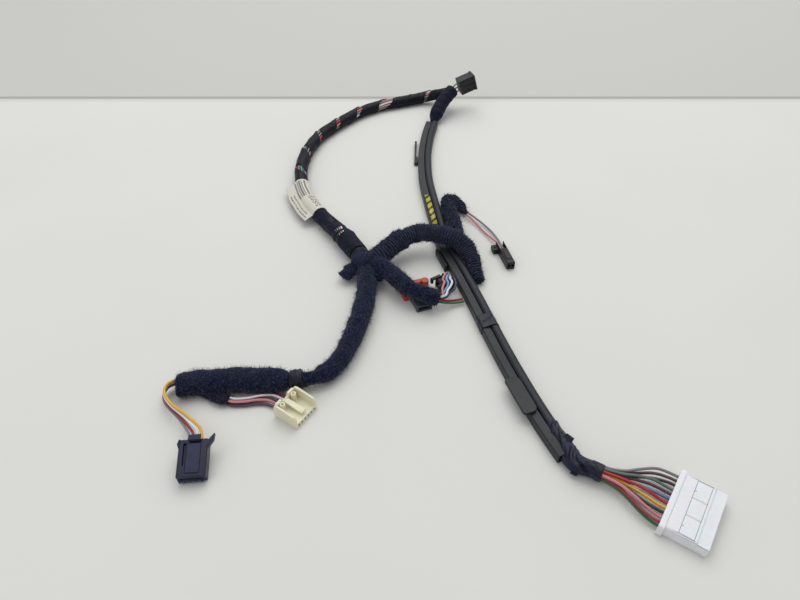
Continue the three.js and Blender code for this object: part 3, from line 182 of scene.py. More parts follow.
class HARNESS_PG_sizes(bpy.types.PropertyGroup):
    """Sizes of the harness's fine forms, in millimetres"""
    wire: millimetres("Wire diameter", "Outer diameter of every lead", 1.3)
    film: millimetres("Film thickness", "Thickness of the vinyl tape", 0.16)
    rib: millimetres("Winding rib", "Height of the step between two turns of fleece tape", 0.42)
    pitch: millimetres("Winding pitch", "Distance between two turns of fleece tape", 7.5)
    round: millimetres("Moulding round", "Radius on the edges of moulded plugs", 0.22)
    hairs: bpy.props.IntProperty(
        name="Hairs", description="Loose fibres that stand off the fleece", default=22000
    )


class HARNESS_PG_colours(bpy.types.PropertyGroup):
    """Colours of the harness's materials"""
    fleece: colour("Fleece", "Fleece tape", 14, 26, 60)
    vinyl: colour("Vinyl", "Vinyl tape", 16, 19, 36)
    protector: colour("Protector", "Moulded wire protector", 34, 37, 41)
    clip: colour("Clips", "Clips on the protector", 26, 28, 33)
    milk: colour("White nylon", "Wide plug", 238, 237, 240)
    marine: colour("Navy nylon", "Four-way plug", 9, 19, 49)
    ivory: colour("Cream nylon", "Six-slot plug", 232, 228, 200)
    ink: colour("Black nylon", "Small plugs", 18, 19, 25)
    slate: colour("Slate nylon", "Plug with a lock slide", 60, 62, 70)
    rust: colour("Orange nylon", "Lock slide", 178, 58, 40)
    paper: colour("Paper", "Label on the trunk", 220, 216, 202)
    bars: colour("Label bars", "Bars on the protector's label", 196, 184, 44)
    grey: colour("Grey wire", "Grey insulation", 132, 128, 134)
    brown: colour("Brown wire", "Brown insulation", 92, 52, 60)
    black: colour("Black wire", "Black insulation", 34, 34, 40)
    green: colour("Green wire", "Green insulation", 92, 114, 102)
    violet: colour("Violet wire", "Violet insulation", 84, 48, 66)
    blue: colour("Blue wire", "Blue insulation", 92, 112, 156)
    red: colour("Red wire", "Red insulation", 176, 22, 46)
    yellow: colour("Yellow wire", "Yellow insulation", 232, 176, 36)
    pink: colour("Pink wire", "Pink insulation", 206, 128, 138)
    crimson: colour("Crimson wire", "Crimson insulation", 146, 22, 48)
    white: colour("White wire", "White insulation", 226, 226, 228)
    cream: colour("Cream wire", "Cream insulation", 226, 214, 184)
    leaf: colour("Leaf wire", "Leaf green insulation", 18, 112, 62)
    sky: colour("Sky wire", "Sky blue insulation", 120, 170, 206)
    navy: colour("Navy wire", "Navy insulation", 36, 44, 84)
    teal: colour("Teal wire", "Teal insulation", 84, 156, 142)
    floor: colour("Floor", "Plain floor", 228, 227, 221)


def unit(vector):
    """The vector at length one."""
    return vector / max(np.linalg.norm(vector), 1e-9)


def ease(value, low=0.0, high=1.0):
    """Zero below low, one above high, and smooth between them."""
    share = np.clip((value - low) / (high - low), 0.0, 1.0)
    return share * share * (3 - 2 * share)


def row(count, pitch):
    """Places in a centred row."""
    return [(index - (count - 1) / 2) * pitch for index in range(count)]


def keyed(keys, share):
    """A smooth reading between pairs of share and value."""
    places = np.array([key[0] for key in keys], float)
    values = np.array([key[1] for key in keys], float)
    share = np.asarray(share, float)
    below = np.clip(np.searchsorted(places, share, side="right") - 1, 0, len(places) - 2)
    width = np.maximum(places[below + 1] - places[below], 1e-9)
    blend = np.clip((share - places[below]) / width, 0, 1)
    blend = 0.5 * blend + 0.5 * blend * blend * (3 - 2 * blend)
    return values[below] + (values[below + 1] - values[below]) * blend


def through(points, steps=24):
    """A dense smooth line through the points."""
    points = [np.array(point, float) for point in points]
    padded = [2 * points[0] - points[1]] + points + [2 * points[-1] - points[-2]]
    u = (np.arange(steps) / steps)[:, None]
    parts = []
    for before, start, end, after in zip(padded, padded[1:], padded[2:], padded[3:]):
        d0 = max(math.sqrt(np.linalg.norm(start - before)), 1e-4)
        d1 = max(math.sqrt(np.linalg.norm(end - start)), 1e-4)
        d2 = max(math.sqrt(np.linalg.norm(after - end)), 1e-4)
        t1 = ((start - before) / d0 - (end - before) / (d0 + d1) + (end - start) / d1) * d1
        t2 = ((end - start) / d1 - (after - start) / (d1 + d2) + (after - end) / d2) * d1
        parts.append(
            start + t1 * u
            + (-3 * start + 3 * end - 2 * t1 - t2) * u**2
            + (2 * start - 2 * end + t1 + t2) * u**3
        )
    parts.append(points[-1][None, :])
    return np.concatenate(parts)


class Route:
    """A smooth line that is measured by its length, with a level frame at each place on it."""

    def __init__(self, points):
        self.line = through(points)
        self.marks = np.concatenate([[0], np.cumsum(np.linalg.norm(np.diff(self.line, axis=0), axis=1))])
        self.length = float(self.marks[-1])

    def at(self, s):
        """The points at the distances s."""
        return np.stack([np.interp(s, self.marks, self.line[:, axis]) for axis in range(3)], axis=-1)

    def frame(self, s, reach=0.6):
        """Centre, forward, left and rise at the distances s."""
        s = np.atleast_1d(np.asarray(s, float))
        inside = np.clip(s, 0, self.length)
        forward = self.at(np.minimum(inside + reach, self.length)) - self.at(np.maximum(inside - reach, 0))
        forward /= np.linalg.norm(forward, axis=1, keepdims=True)
        left = np.cross(UP, forward)
        left /= np.maximum(np.linalg.norm(left, axis=1, keepdims=True), 1e-9)
        rise = np.cross(forward, left)
        centre = self.at(inside) + forward * (s - inside)[:, None]
        return centre, forward, left, rise

    def near(self, level):
        """The distance at which the route is at this bench depth."""
        return float(self.marks[np.argmin(np.abs(self.line[:, 1] - level))])


class Seat:
    """The place and directions of a plug."""

    def __init__(self, name):
        at, heading, tilt, roll = SEATS[name]
        self.origin = np.array(at, float)
        h, t, r = (math.radians(angle) for angle in (heading, -tilt, roll))
        turn = np.array([[math.cos(h), -math.sin(h), 0], [math.sin(h), math.cos(h), 0], [0, 0, 1]])
        lean = np.array([[math.cos(t), 0, math.sin(t)], [0, 1, 0], [-math.sin(t), 0, math.cos(t)]])
        spin = np.array([[1, 0, 0], [0, math.cos(r), -math.sin(r)], [0, math.sin(r), math.cos(r)]])
        self.turn = turn @ lean @ spin

    def __call__(self, x, y, z):
        return self.origin + self.turn @ np.array([x, y, z], float)

    def many(self, points):
        """Bench points of an array of the plug's own points."""
        return self.origin + np.asarray(points, float) @ self.turn.T


def waves(s, a, seed, size, count=14, twist=6):
    """Smooth seeded noise over a tube, the same at a and at a full turn further."""
    chance = np.random.default_rng(seed)
    total = np.zeros(np.broadcast(s, a).shape)
    for _ in range(count):
        pace = 2 * math.pi / (size * chance.uniform(0.7, 2.2))
        total += np.sin(s * pace + a * chance.integers(-twist, twist + 1) + chance.uniform(0, 2 * math.pi))
    return total / math.sqrt(count)


class Surface:
    """Points and faces gathered into one mesh, in bench millimetres."""

    def __init__(self):
        self.points = []
        self.faces = []
        self.paint = []
        self.marks = {"edge": [], "along": [], "across": []}
        self.count = 0

    def keep(self, points, faces, paint=0, **marks):
        """Adds points and faces, with a mark for each point."""
        points = np.asarray(points, float).reshape(-1, 3)
        self.points.append(points)
        self.faces.extend(tuple(int(corner) + self.count for corner in face) for face in faces)
        self.paint.extend([paint] * len(faces))
        for name, gathered in self.marks.items():
            value = marks.get(name, 0.0)
            gathered.append(np.broadcast_to(np.asarray(value, float), (len(points),)).copy()
                            if np.ndim(value) == 0 else np.asarray(value, float).reshape(-1))
        self.count += len(points)

    def grid(self, grid, closed=True, ends=True, paint=0, **marks):
        """Adds a grid of points: rows run along, columns run round or across."""
        rows, columns = grid.shape[:2]
        index = np.arange(rows * columns).reshape(rows, columns)
        after = np.roll(index, -1, axis=1) if closed else index[:, 1:]
        here = index if closed else index[:, :-1]
        faces = np.stack([here[:-1], after[:-1], after[1:], here[1:]], axis=-1).reshape(-1, 4).tolist()
        points = grid.reshape(-1, 3)
        if closed and ends:
            first, last = len(points), len(points) + 1
            points = np.concatenate([points, grid[0].mean(axis=0)[None], grid[-1].mean(axis=0)[None]])
            for now, then in zip(index[0], after[0]):
                faces.append((first, then, now))
            for now, then in zip(index[-1], after[-1]):
                faces.append((last, now, then))
            for name, value in marks.items():
                if np.ndim(value):
                    value = np.asarray(value, float).reshape(rows, columns)
                    marks[name] = np.concatenate([value.reshape(-1), [value[0].mean(), value[-1].mean()]])
        else:
            marks = {name: np.asarray(value).reshape(-1) if np.ndim(value) else value
                     for name, value in marks.items()}
        self.keep(points, faces, paint, **marks)

    def tube(self, route, stations, radius, sides=48, squash=1.0, paint=0, ends=True, edge=None, twist=0.0):
        """Adds a tube whose radius may change along it and round it."""
        s = np.asarray(stations, float)
        a = np.arange(sides) * 2 * math.pi / sides
        spread, angle = np.meshgrid(s, a, indexing="ij")
        size = radius(spread, angle) if callable(radius) else np.full(spread.shape, float(radius))
        centre, _, left, rise = route.frame(s)
        turned = angle + twist
        grid = (centre[:, None] + left[:, None] * (size * np.cos(turned))[..., None]
                + rise[:, None] * (size * squash * np.sin(turned))[..., None])
        mark = edge(spread, angle) if edge else np.zeros(spread.shape)
        self.grid(grid, paint=paint, ends=ends, edge=mark, along=spread, across=angle / (2 * math.pi))

    def mesh(self, name):
        """The gathered mesh, in metres in the part's frame."""
        mesh = bpy.data.meshes.new(name)
        points = (np.concatenate(self.points) - BENCH_ORIGIN) * MM
        mesh.from_pydata(points.tolist(), [], self.faces)
        mesh.polygons.foreach_set("material_index", self.paint)
        mesh.polygons.foreach_set("use_smooth", [True] * len(self.faces))
        for label, gathered in self.marks.items():
            layer = mesh.attributes.new(label, "FLOAT", "POINT")
            layer.data.foreach_set("value", np.concatenate(gathered))
        mesh.update()
        return mesh


def place(name, data, materials, slot, *nodes):
    """Puts a piece in the scene, on the body, in place of its CAD nodes."""
    piece = bpy.data.objects.new(name, data)
    bpy.context.scene.collection.objects.link(piece)
    for material in materials:
        data.materials.append(material)
    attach(piece, "root")
    if nodes:
        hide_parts(*nodes)
    return piece


def thicken(piece, thickness):
    """Gives a strip its thickness, towards its inside."""
    solid = piece.modifiers.new("Thickness", "SOLIDIFY")
    solid.thickness = thickness * MM
    solid.offset = -1
    return piece


def soften(piece, width, segments=2, angle=30):
    """Rounds the piece's sharp edges."""
    bevel = piece.modifiers.new("Rounds", "BEVEL")
    bevel.width = width * MM
    bevel.segments = segments
    bevel.limit_method = "ANGLE"
    bevel.angle_limit = math.radians(angle)
    bevel.use_clamp_overlap = False
    level = piece.modifiers.new("Level faces", "WEIGHTED_NORMAL")
    level.keep_sharp = True
    level.weight = 100
    return piece


class Tree:
    """Adds and joins the nodes of one node tree."""

    def __init__(self, tree):
        self.tree = tree

    def feed(self, socket, value):
        """Sets a socket to a number or colour, or joins another socket to it."""
        if isinstance(value, bpy.types.NodeSocket):
            self.tree.links.new(value, socket)
        else:
            socket.default_value = value

    def node(self, kind, inputs=None, **settings):
        """A new node with its settings and inputs."""
        node = self.tree.nodes.new(kind)
        for name, value in settings.items():
            setattr(node, name, value)
        for name, value in (inputs or {}).items():
            self.feed(node.inputs[name], value)
        return node

    def math(self, operation, first, second=0.5, third=0.5):
        """The result of one sum."""
        node = self.node("ShaderNodeMath", {0: first, 1: second}, operation=operation)
        if operation in ("MULTIPLY_ADD", "SMOOTH_MIN", "SMOOTH_MAX"):
            self.feed(node.inputs[2], third)
        return node.outputs[0]

    def mix(self, share, first, second, blend="MIX"):
        """Two colours, mixed."""
        node = self.node("ShaderNodeMix", {0: share, 6: first, 7: second}, data_type="RGBA", blend_type=blend)
        return node.outputs[2]

    def span(self, value, low, high, to_low=0.0, to_high=1.0, smooth=False):
        """A value moved from one range to another."""
        node = self.node(
            "ShaderNodeMapRange", {0: value, 1: low, 2: high, 3: to_low, 4: to_high},
            interpolation_type="SMOOTHSTEP" if smooth else "LINEAR",
        )
        return node.outputs[0]

    def noise(self, where, scale, detail=3.0, rough=0.55):
        """A noise value."""
        return self.node(
            "ShaderNodeTexNoise", {"Vector": where, "Scale": scale, "Detail": detail, "Roughness": rough}
        ).outputs["Fac"]

    def stretch(self, where, scale, turn=(0.0, 0.0, 0.0)):
        """Coordinates that are turned and stretched."""
        return self.node(
            "ShaderNodeMapping", {"Vector": where, "Rotation": turn, "Scale": scale}
        ).outputs["Vector"]


def effect(name, inputs, outputs, build):
    """A shader node group with named sockets."""
    group = bpy.data.node_groups.new(name, "ShaderNodeTree")
    for label, value in inputs:
        socket = group.interface.new_socket(name=label, in_out="INPUT", socket_type="NodeSocketFloat")
        socket.default_value = value
    for label in outputs:
        group.interface.new_socket(name=label, in_out="OUTPUT", socket_type="NodeSocketFloat")
    tree = Tree(group)
    start = group.nodes.new("NodeGroupInput")
    end = group.nodes.new("NodeGroupOutput")
    results = build(tree, start.outputs)
    for label, result in results.items():
        tree.feed(end.inputs[label], result)
    return group


def build_grain(tree, given):
    """Fine moulding grain, slow tone and rubbed edges."""
    where = tree.node("ShaderNodeTexCoord").outputs["Object"]
    fine = tree.noise(where, given["Scale"], 2.0)
    broad = tree.noise(where, tree.math("MULTIPLY", given["Scale"], 0.12), 3.0)
    slow = tree.noise(where, tree.math("MULTIPLY", given["Scale"], 0.02), 2.0)
    point = tree.node("ShaderNodeNewGeometry").outputs["Pointiness"]
    edge = tree.span(point, 0.515, 0.58, smooth=True)
    height = tree.math("ADD", tree.math("MULTIPLY", fine, 0.6), tree.math("MULTIPLY", broad, 0.4))
    tone = tree.math("ADD", tree.math("MULTIPLY", broad, 0.4), tree.math("MULTIPLY", slow, 0.6))
    rub = tree.math("MULTIPLY", edge, tree.span(broad, 0.35, 0.62))
    return {"Height": height, "Tone": tone, "Rub": rub}


def build_nap(tree, given):
    """Matted fibres that cross each other, and their patches of shade."""
    where = tree.node("ShaderNodeTexCoord").outputs["Object"]
    threads = []
    for turn in ((0.3, 0.2, 0.1), (0.5, -0.6, 1.1), (1.2, 0.9, -0.8)):
        lie = tree.stretch(where, (1.0, 0.16, 0.16), turn)
        value = tree.noise(lie, given["Scale"], 2.0, 0.6)
        threads.append(tree.math("SUBTRACT", 1.0, tree.math("ABSOLUTE", tree.math("SUBTRACT", value, 0.5))))
    crossed = tree.math("SMOOTH_MAX", tree.math("SMOOTH_MAX", threads[0], threads[1], 0.05), threads[2], 0.05)
    fluff = tree.noise(where, tree.math("MULTIPLY", given["Scale"], 0.25), 4.0, 0.7)
    height = tree.math("ADD", tree.math("MULTIPLY", crossed, 0.6), tree.math("MULTIPLY", fluff, 0.8))
    shade = tree.span(fluff, 0.3, 0.7)
    return {"Height": height, "Shade": shade}


def build_film(tree, given):
    """Creases and stretch marks of vinyl tape, and patches of gloss."""
    where = tree.node("ShaderNodeTexCoord").outputs["Object"]
    long = tree.stretch(where, (1.0, 0.3, 0.5), (0.4, 0.2, 0.7))
    value = tree.noise(long, given["Scale"], 3.0, 0.5)
    ridge = tree.math(
        "SUBTRACT", 1.0,
        tree.math("MULTIPLY", tree.math("ABSOLUTE", tree.math("SUBTRACT", value, 0.5)), 6.0)
    )
    ridge = tree.math("MAXIMUM", ridge, 0.0)
    fine = tree.noise(where, tree.math("MULTIPLY", given["Scale"], 7.0), 2.0)
    height = tree.math("ADD", tree.math("MULTIPLY", ridge, 0.7), tree.math("MULTIPLY", fine, 0.12))
    gloss = tree.noise(where, tree.math("MULTIPLY", given["Scale"], 0.6), 2.0)
    return {"Height": height, "Gloss": gloss, "Crease": ridge}


def build_dust(tree, given):
    """Pale dust that settles on faces that look up."""
    where = tree.node("ShaderNodeTexCoord").outputs["Object"]
    normal = tree.node("ShaderNodeNewGeometry").outputs["Normal"]
    level = tree.node("ShaderNodeSeparateXYZ", {0: normal}).outputs["Z"]
    specks = tree.span(tree.noise(where, 2600.0, 4.0, 0.7), 0.5, 0.72)
    film = tree.span(tree.noise(where, 140.0, 3.0), 0.35, 0.75)
    mask = tree.math(
        "MULTIPLY", tree.span(level, 0.1, 1.0),
        tree.math("ADD", tree.math("MULTIPLY", specks, 0.7), tree.math("MULTIPLY", film, 0.3))
    )
    return {"Mask": tree.math("MULTIPLY", mask, given["Amount"])}


def effects():
    """The effects that the materials share, built once."""
    if "Moulding grain" not in bpy.data.node_groups:
        effect("Moulding grain", [("Scale", 4000.0)], ["Height", "Tone", "Rub"], build_grain)
        effect("Fleece nap", [("Scale", 2500.0)], ["Height", "Shade"], build_nap)
        effect("Tape film", [("Scale", 260.0)], ["Height", "Gloss", "Crease"], build_film)
        effect("Settled dust", [("Amount", 0.2)], ["Mask"], build_dust)
    return bpy.data.node_groups


def put(tree, name, **inputs):
    """Places a shared effect in a material."""
    node = tree.node("ShaderNodeGroup", node_tree=effects()[name])
    for label, value in inputs.items():
        tree.feed(node.inputs[label], value)
    return node.outputs


def start(name, **settings):
    """A new material with a Principled shader whose plain values are on its own sockets."""
    material = bpy.data.materials.new(name)
    material.use_nodes = True
    tree = Tree(material.node_tree)
    shader = material.node_tree.nodes["Principled BSDF"]
    for label, value in settings.items():
        shader.inputs[label.replace("_", " ")].default_value = value
    return material, tree, shader


def shaded(colour, factor):
    """The colour made darker or lighter."""
    return tuple(min(1.0, channel * factor) for channel in colour[:3]) + (1.0,)


def bump(tree, shader, height, strength, distance):
    """Feeds a height to the shader's normal."""
    node = tree.node("ShaderNodeBump", {"Strength": strength, "Distance": distance * MM, "Height": height})
    tree.feed(shader.inputs["Normal"], node.outputs["Normal"])


def moulded_material(
    name, base, rough, scale=3600.0, depth=0.03, dust=0.15, pale=1.35, streak=False, **settings
):
    """Injection moulded plastic with grain, rubbed edges and a little dust; with streak, also lengthwise
    scuffs and a painted dark bluish reflection on the protector's ridge.
    """
    if name in bpy.data.materials:
        return bpy.data.materials[name]
    material, tree, shader = start(name, **settings)
    grain = put(tree, "Moulding grain", Scale=scale)
    base_colour = tree.mix(grain["Tone"], shaded(base, 0.84), shaded(base, 1.14))
    height = grain["Height"]
    if streak:
        where = tree.node("ShaderNodeAttribute", attribute_name="across").outputs["Fac"]
        along = tree.node("ShaderNodeAttribute", attribute_name="along").outputs["Fac"]
        lane = tree.node(
            "ShaderNodeCombineXYZ",
            {0: tree.math("MULTIPLY", where, 90.0), 1: tree.math("MULTIPLY", along, 0.05)}
        )
        scuff = tree.span(tree.noise(lane.outputs[0], 2.2, 4.0, 0.65), 0.48, 0.72)
        # With streak, the "edge" mark is the protector's ridge: it gets a painted dark bluish reflection
        ridge = tree.node("ShaderNodeAttribute", attribute_name="edge").outputs["Fac"]
        base_colour = tree.mix(tree.math("MULTIPLY", ridge, 0.75), base_colour, srgb(20, 24, 36))
        base_colour = tree.mix(tree.math("MULTIPLY", scuff, 0.3), base_colour, shaded(base, 1.8))
        height = tree.math("ADD", height, tree.math("MULTIPLY", scuff, 0.5))
    base_colour = tree.mix(tree.math("MULTIPLY", grain["Rub"], 0.6), base_colour, shaded(base, pale))
    settled = put(tree, "Settled dust", Amount=dust)["Mask"]
    base_colour = tree.mix(settled, base_colour, (0.5, 0.5, 0.48, 1.0))
    tree.feed(shader.inputs["Base Color"], base_colour)
    roughness = tree.span(grain["Tone"], 0.3, 0.7, rough - 0.08, rough + 0.08)
    tree.feed(shader.inputs["Roughness"], tree.math("ADD", roughness, tree.math("MULTIPLY", settled, 0.5)))
    bump(tree, shader, height, 0.35, depth)
    return material


def wire_material(kind):
    """Smooth insulation of one colour, with soft patches and dust."""
    name = "wire insulation " + kind
    if name in bpy.data.materials:
        return bpy.data.materials[name]
    base = getattr(bpy.context.scene.harness_colours, kind)
    material, tree, shader = start(name, Coat_Weight=0.12, Coat_Roughness=0.25)
    grain = put(tree, "Moulding grain", Scale=2600.0)
    body = tree.mix(grain["Tone"], shaded(base, 0.8), shaded(base, 1.16))
    settled = put(tree, "Settled dust", Amount=0.1)["Mask"]
    tree.feed(shader.inputs["Base Color"], tree.mix(settled, body, (0.5, 0.5, 0.48, 1.0)))
    tree.feed(shader.inputs["Roughness"], tree.span(grain["Tone"], 0.3, 0.7, 0.3, 0.5))
    bump(tree, shader, grain["Height"], 0.3, 0.03)
    return material


def fleece_material(lay="matted"):
    """Black fleece tape: matted fibres, brushed lengthwise or in fine cross ribs, with painted grey
    highlights on its clumps, painted highlights and shade on the ribs, and painted shade in the laps.
    """
    name = lay + " fleece"
    if name in bpy.data.materials:
        return bpy.data.materials[name]
    base = bpy.context.scene.harness_colours.fleece
    material, tree, shader = start(
        name, Sheen_Weight=0.22, Sheen_Roughness=0.5, Sheen_Tint=(0.45, 0.5, 0.7, 1.0),
        Specular_IOR_Level=0.15
    )
    nap = put(tree, "Fleece nap", Scale=1250.0)
    edge = tree.node("ShaderNodeAttribute", attribute_name="edge").outputs["Fac"]
    along = tree.node("ShaderNodeAttribute", attribute_name="along").outputs["Fac"]
    across = tree.node("ShaderNodeAttribute", attribute_name="across").outputs["Fac"]
    where = tree.node("ShaderNodeTexCoord").outputs["Object"]
    pace = {"matted": (26.0, 0.5), "brushed": (60.0, 0.16), "ribbed": (9.0, 1.6)}[lay]
    lane = tree.node(
        "ShaderNodeCombineXYZ",
        {0: tree.math("MULTIPLY", across, pace[0]), 1: tree.math("MULTIPLY", along, pace[1])}
    ).outputs[0]
    streak = tree.noise(lane, 1.0, 4.0, 0.7)
    height = tree.math("ADD", nap["Height"], tree.math("MULTIPLY", streak, 1.0))
    clump = tree.noise(where, 620.0, 3.0, 0.65)
    height = tree.math("ADD", height, tree.math("MULTIPLY", clump, 2.2))
    # Clumps run from dark to a greyer pale colour: partly the fleece's random tone, partly a painted grey
    # highlight
    pale = tuple((deep + grey) / 2 for deep, grey in zip(shaded(base, 1.4), (0.026, 0.032, 0.048, 1.0)))
    body = tree.mix(tree.span(clump, 0.38, 0.66), shaded(base, 0.25), pale)
    body = tree.mix(tree.span(nap["Shade"], 0.2, 0.8), shaded(base, 0.6), body)
    body = tree.mix(tree.span(streak, 0.42, 0.7), shaded(base, 0.55), body)
    if lay == "ribbed":
        beat = tree.math("ABSOLUTE", tree.math("SINE", tree.math("MULTIPLY", along, math.pi / 1.7)))
        crest_highlight = tree.math(
            "MULTIPLY", tree.span(beat, 0.55, 1.0), tree.span(tree.noise(where, 1100.0, 2.0), 0.35, 0.6)
        )
        # Painted shade in the valleys between the cross ribs, and a painted highlight on the rib crests
        body = tree.mix(tree.span(beat, 0.5, 0.15), body, shaded(base, 0.25))
        body = tree.mix(tree.math("MULTIPLY", crest_highlight, 0.75), body, (0.032, 0.045, 0.085, 1.0))
        height = tree.math("ADD", height, tree.math("MULTIPLY", beat, 2.0))
    # Painted shade in the lap steps between turns of tape
    body = tree.mix(tree.math("MULTIPLY", edge, 0.6), body, shaded(base, 0.3))
    lint = tree.span(tree.noise(where, 3400.0, 3.0, 0.8), 0.64, 0.74)
    body = tree.mix(tree.math("MULTIPLY", lint, 0.14), body, (0.1, 0.13, 0.22, 1.0))
    tree.feed(shader.inputs["Base Color"], body)
    tree.feed(shader.inputs["Roughness"], tree.span(nap["Shade"], 0.0, 1.0, 0.82, 0.98))
    bump(tree, shader, height, 0.95, 0.4)
    return material


def cloth_material(name="woven tape", lift=0.9):
    """Woven harness tape: fine threads, dull, with slow folds, and painted shade at its lap edges and wrap
    ends.
    """
    if name in bpy.data.materials:
        return bpy.data.materials[name]
    base = shaded(bpy.context.scene.harness_colours.vinyl, lift)
    material, tree, shader = start(
        name, Sheen_Weight=0.06, Sheen_Tint=(0.4, 0.5, 0.8, 1.0), Specular_IOR_Level=0.15
    )
    film = put(tree, "Tape film", Scale=150.0)
    edge = tree.node("ShaderNodeAttribute", attribute_name="edge").outputs["Fac"]
    where = tree.node("ShaderNodeTexCoord").outputs["Object"]
    weave = tree.noise(where, 1500.0, 2.0, 0.7)
    body = tree.mix(film["Gloss"], shaded(base, 0.7), shaded(base, 1.5))
    body = tree.mix(tree.math("MULTIPLY", tree.span(weave, 0.5, 0.7), 0.3), body, shaded(base, 2.0))
    # Painted shade at the lap edges and the wrap ends
    body = tree.mix(tree.math("MULTIPLY", edge, 0.6), body, shaded(base, 0.35))
    tree.feed(shader.inputs["Base Color"], body)
    tree.feed(shader.inputs["Roughness"], tree.span(film["Gloss"], 0.3, 0.7, 0.6, 0.8))
    height = tree.math("ADD", tree.math("MULTIPLY", weave, 0.8), film["Height"])
    bump(tree, shader, height, 0.6, 0.25)
    return material


def fibre_material():
    """Loose fibres of the fleece."""
    name = "loose fibres"
    if name in bpy.data.materials:
        return bpy.data.materials[name]
    base = bpy.context.scene.harness_colours.fleece
    material, tree, shader = start(name, Roughness=0.7, Sheen_Weight=0.3)
    nap = put(tree, "Fleece nap", Scale=900.0)
    tree.feed(shader.inputs["Base Color"], tree.mix(nap["Shade"], shaded(base, 0.7), shaded(base, 2.0)))
    return material


def vinyl_material(name="vinyl tape", gloss=0.32, lift=1.0, crinkle=0.4, coat=0.06):
    """Black vinyl tape: creased film with a painted highlight on its crease ridges and painted shade along
    its lap edges.
    """
    if name in bpy.data.materials:
        return bpy.data.materials[name]
    base = shaded(bpy.context.scene.harness_colours.vinyl, lift)
    material, tree, shader = start(name, Coat_Weight=coat, Coat_Roughness=0.16, Specular_IOR_Level=0.2)
    film = put(tree, "Tape film", Scale=330.0)
    edge = tree.node("ShaderNodeAttribute", attribute_name="edge").outputs["Fac"]
    body = tree.mix(film["Gloss"], shaded(base, 0.7), shaded(base, 1.4))
    # Painted highlight on the crease ridges
    body = tree.mix(tree.math("MULTIPLY", film["Crease"], 0.12), body, shaded(base, 2.2))
    # Painted shade along the lap edges
    body = tree.mix(tree.math("MULTIPLY", edge, 0.5), body, shaded(base, 0.4))
    settled = put(tree, "Settled dust", Amount=0.015)["Mask"]
    tree.feed(shader.inputs["Base Color"], tree.mix(settled, body, (0.42, 0.42, 0.42, 1.0)))
    tree.feed(shader.inputs["Roughness"], tree.span(film["Gloss"], 0.3, 0.7, gloss, gloss + 0.2))
    bump(tree, shader, film["Height"], crinkle, 0.2)
    return material


def paper_material():
    """Coated label paper with plain grey and black bars."""
    name = "label paper"
    if name in bpy.data.materials:
        return bpy.data.materials[name]
    base = bpy.context.scene.harness_colours.paper
    material, tree, shader = start(name, Specular_IOR_Level=0.4)
    along = tree.node("ShaderNodeAttribute", attribute_name="along").outputs["Fac"]
    across = tree.node("ShaderNodeAttribute", attribute_name="across").outputs["Fac"]
    where = tree.node("ShaderNodeTexCoord").outputs["Object"]
    fibre = tree.noise(where, 1800.0, 3.0)
    body = tree.mix(fibre, shaded(base, 0.88), shaded(base, 1.05))

    def inside(low_across, high_across, low_along, high_along):
        """One within a field of the label, and zero outside it."""
        over = tree.math(
            "MULTIPLY", tree.span(across, low_across, low_across + 0.01),
            tree.span(across, high_across, high_across - 0.01)
        )
        down = tree.math(
            "MULTIPLY", tree.span(along, low_along, low_along + 0.3),
            tree.span(along, high_along, high_along - 0.3)
        )
        return tree.math("MULTIPLY", over, down)

    lane = tree.node("ShaderNodeCombineXYZ", {0: tree.math("MULTIPLY", across, 19.0)}).outputs[0]
    bars = tree.math(
        "MULTIPLY", tree.span(tree.noise(lane, 1.0, 0.0), 0.46, 0.52), inside(0.26, 0.64, 1.5, 21.0)
    )
    dots = tree.node(
        "ShaderNodeCombineXYZ", {0: tree.math("MULTIPLY", across, 28.0), 1: tree.math("MULTIPLY", along, 0.9)}
    ).outputs[0]
    marks = tree.math(
        "MULTIPLY", tree.span(tree.noise(dots, 1.0, 0.0), 0.52, 0.56), inside(0.5, 0.86, 22.0, 37.0)
    )
    lines = tree.math(
        "MULTIPLY", tree.span(tree.noise(dots, 1.3, 0.0), 0.42, 0.46), inside(0.05, 0.09, 12.0, 38.0)
    )
    more = tree.math(
        "MULTIPLY", tree.span(tree.noise(dots, 1.7, 0.0), 0.42, 0.46), inside(0.13, 0.17, 12.0, 36.0)
    )
    ink = tree.math(
        "MAXIMUM", tree.math("MAXIMUM", tree.math("MULTIPLY", bars, 0.9), marks),
        tree.math("MAXIMUM", lines, more)
    )
    body = tree.mix(tree.math("MULTIPLY", ink, 0.85), body, srgb(52, 53, 58))
    tree.feed(shader.inputs["Base Color"], body)
    tree.feed(shader.inputs["Roughness"], tree.span(fibre, 0.3, 0.7, 0.45, 0.6))
    bump(tree, shader, fibre, 0.2, 0.03)
    return material


def bars_material():
    """Black label with chunky slanted bars."""
    name = "barred label"
    if name in bpy.data.materials:
        return bpy.data.materials[name]
    base = bpy.context.scene.harness_colours.bars
    material, tree, shader = start(name, Coat_Weight=0.2)
    along = tree.node("ShaderNodeAttribute", attribute_name="along").outputs["Fac"]
    across = tree.node("ShaderNodeAttribute", attribute_name="across").outputs["Fac"]
    slant = tree.math("ADD", tree.math("MULTIPLY", along, 5.0), tree.math("MULTIPLY", across, 0.55))
    beat = tree.math("FRACT", slant)
    bar = tree.math("MULTIPLY", tree.span(beat, 0.08, 0.12), tree.span(beat, 0.76, 0.72))
    rim = tree.math("MULTIPLY", tree.span(across, 0.04, 0.08), tree.span(across, 0.98, 0.94))
    where = tree.node("ShaderNodeTexCoord").outputs["Object"]
    worn = tree.span(tree.noise(where, 900.0, 4.0), 0.3, 0.42)
    ink = tree.math("MULTIPLY", tree.math("MULTIPLY", bar, rim), worn)
    tree.feed(shader.inputs["Base Color"], tree.mix(ink, srgb(26, 27, 30), base))
    tree.feed(shader.inputs["Roughness"], tree.span(tree.noise(where, 500.0), 0.3, 0.7, 0.3, 0.45))
    bump(tree, shader, tree.noise(where, 2400.0), 0.2, 0.03)
    return material


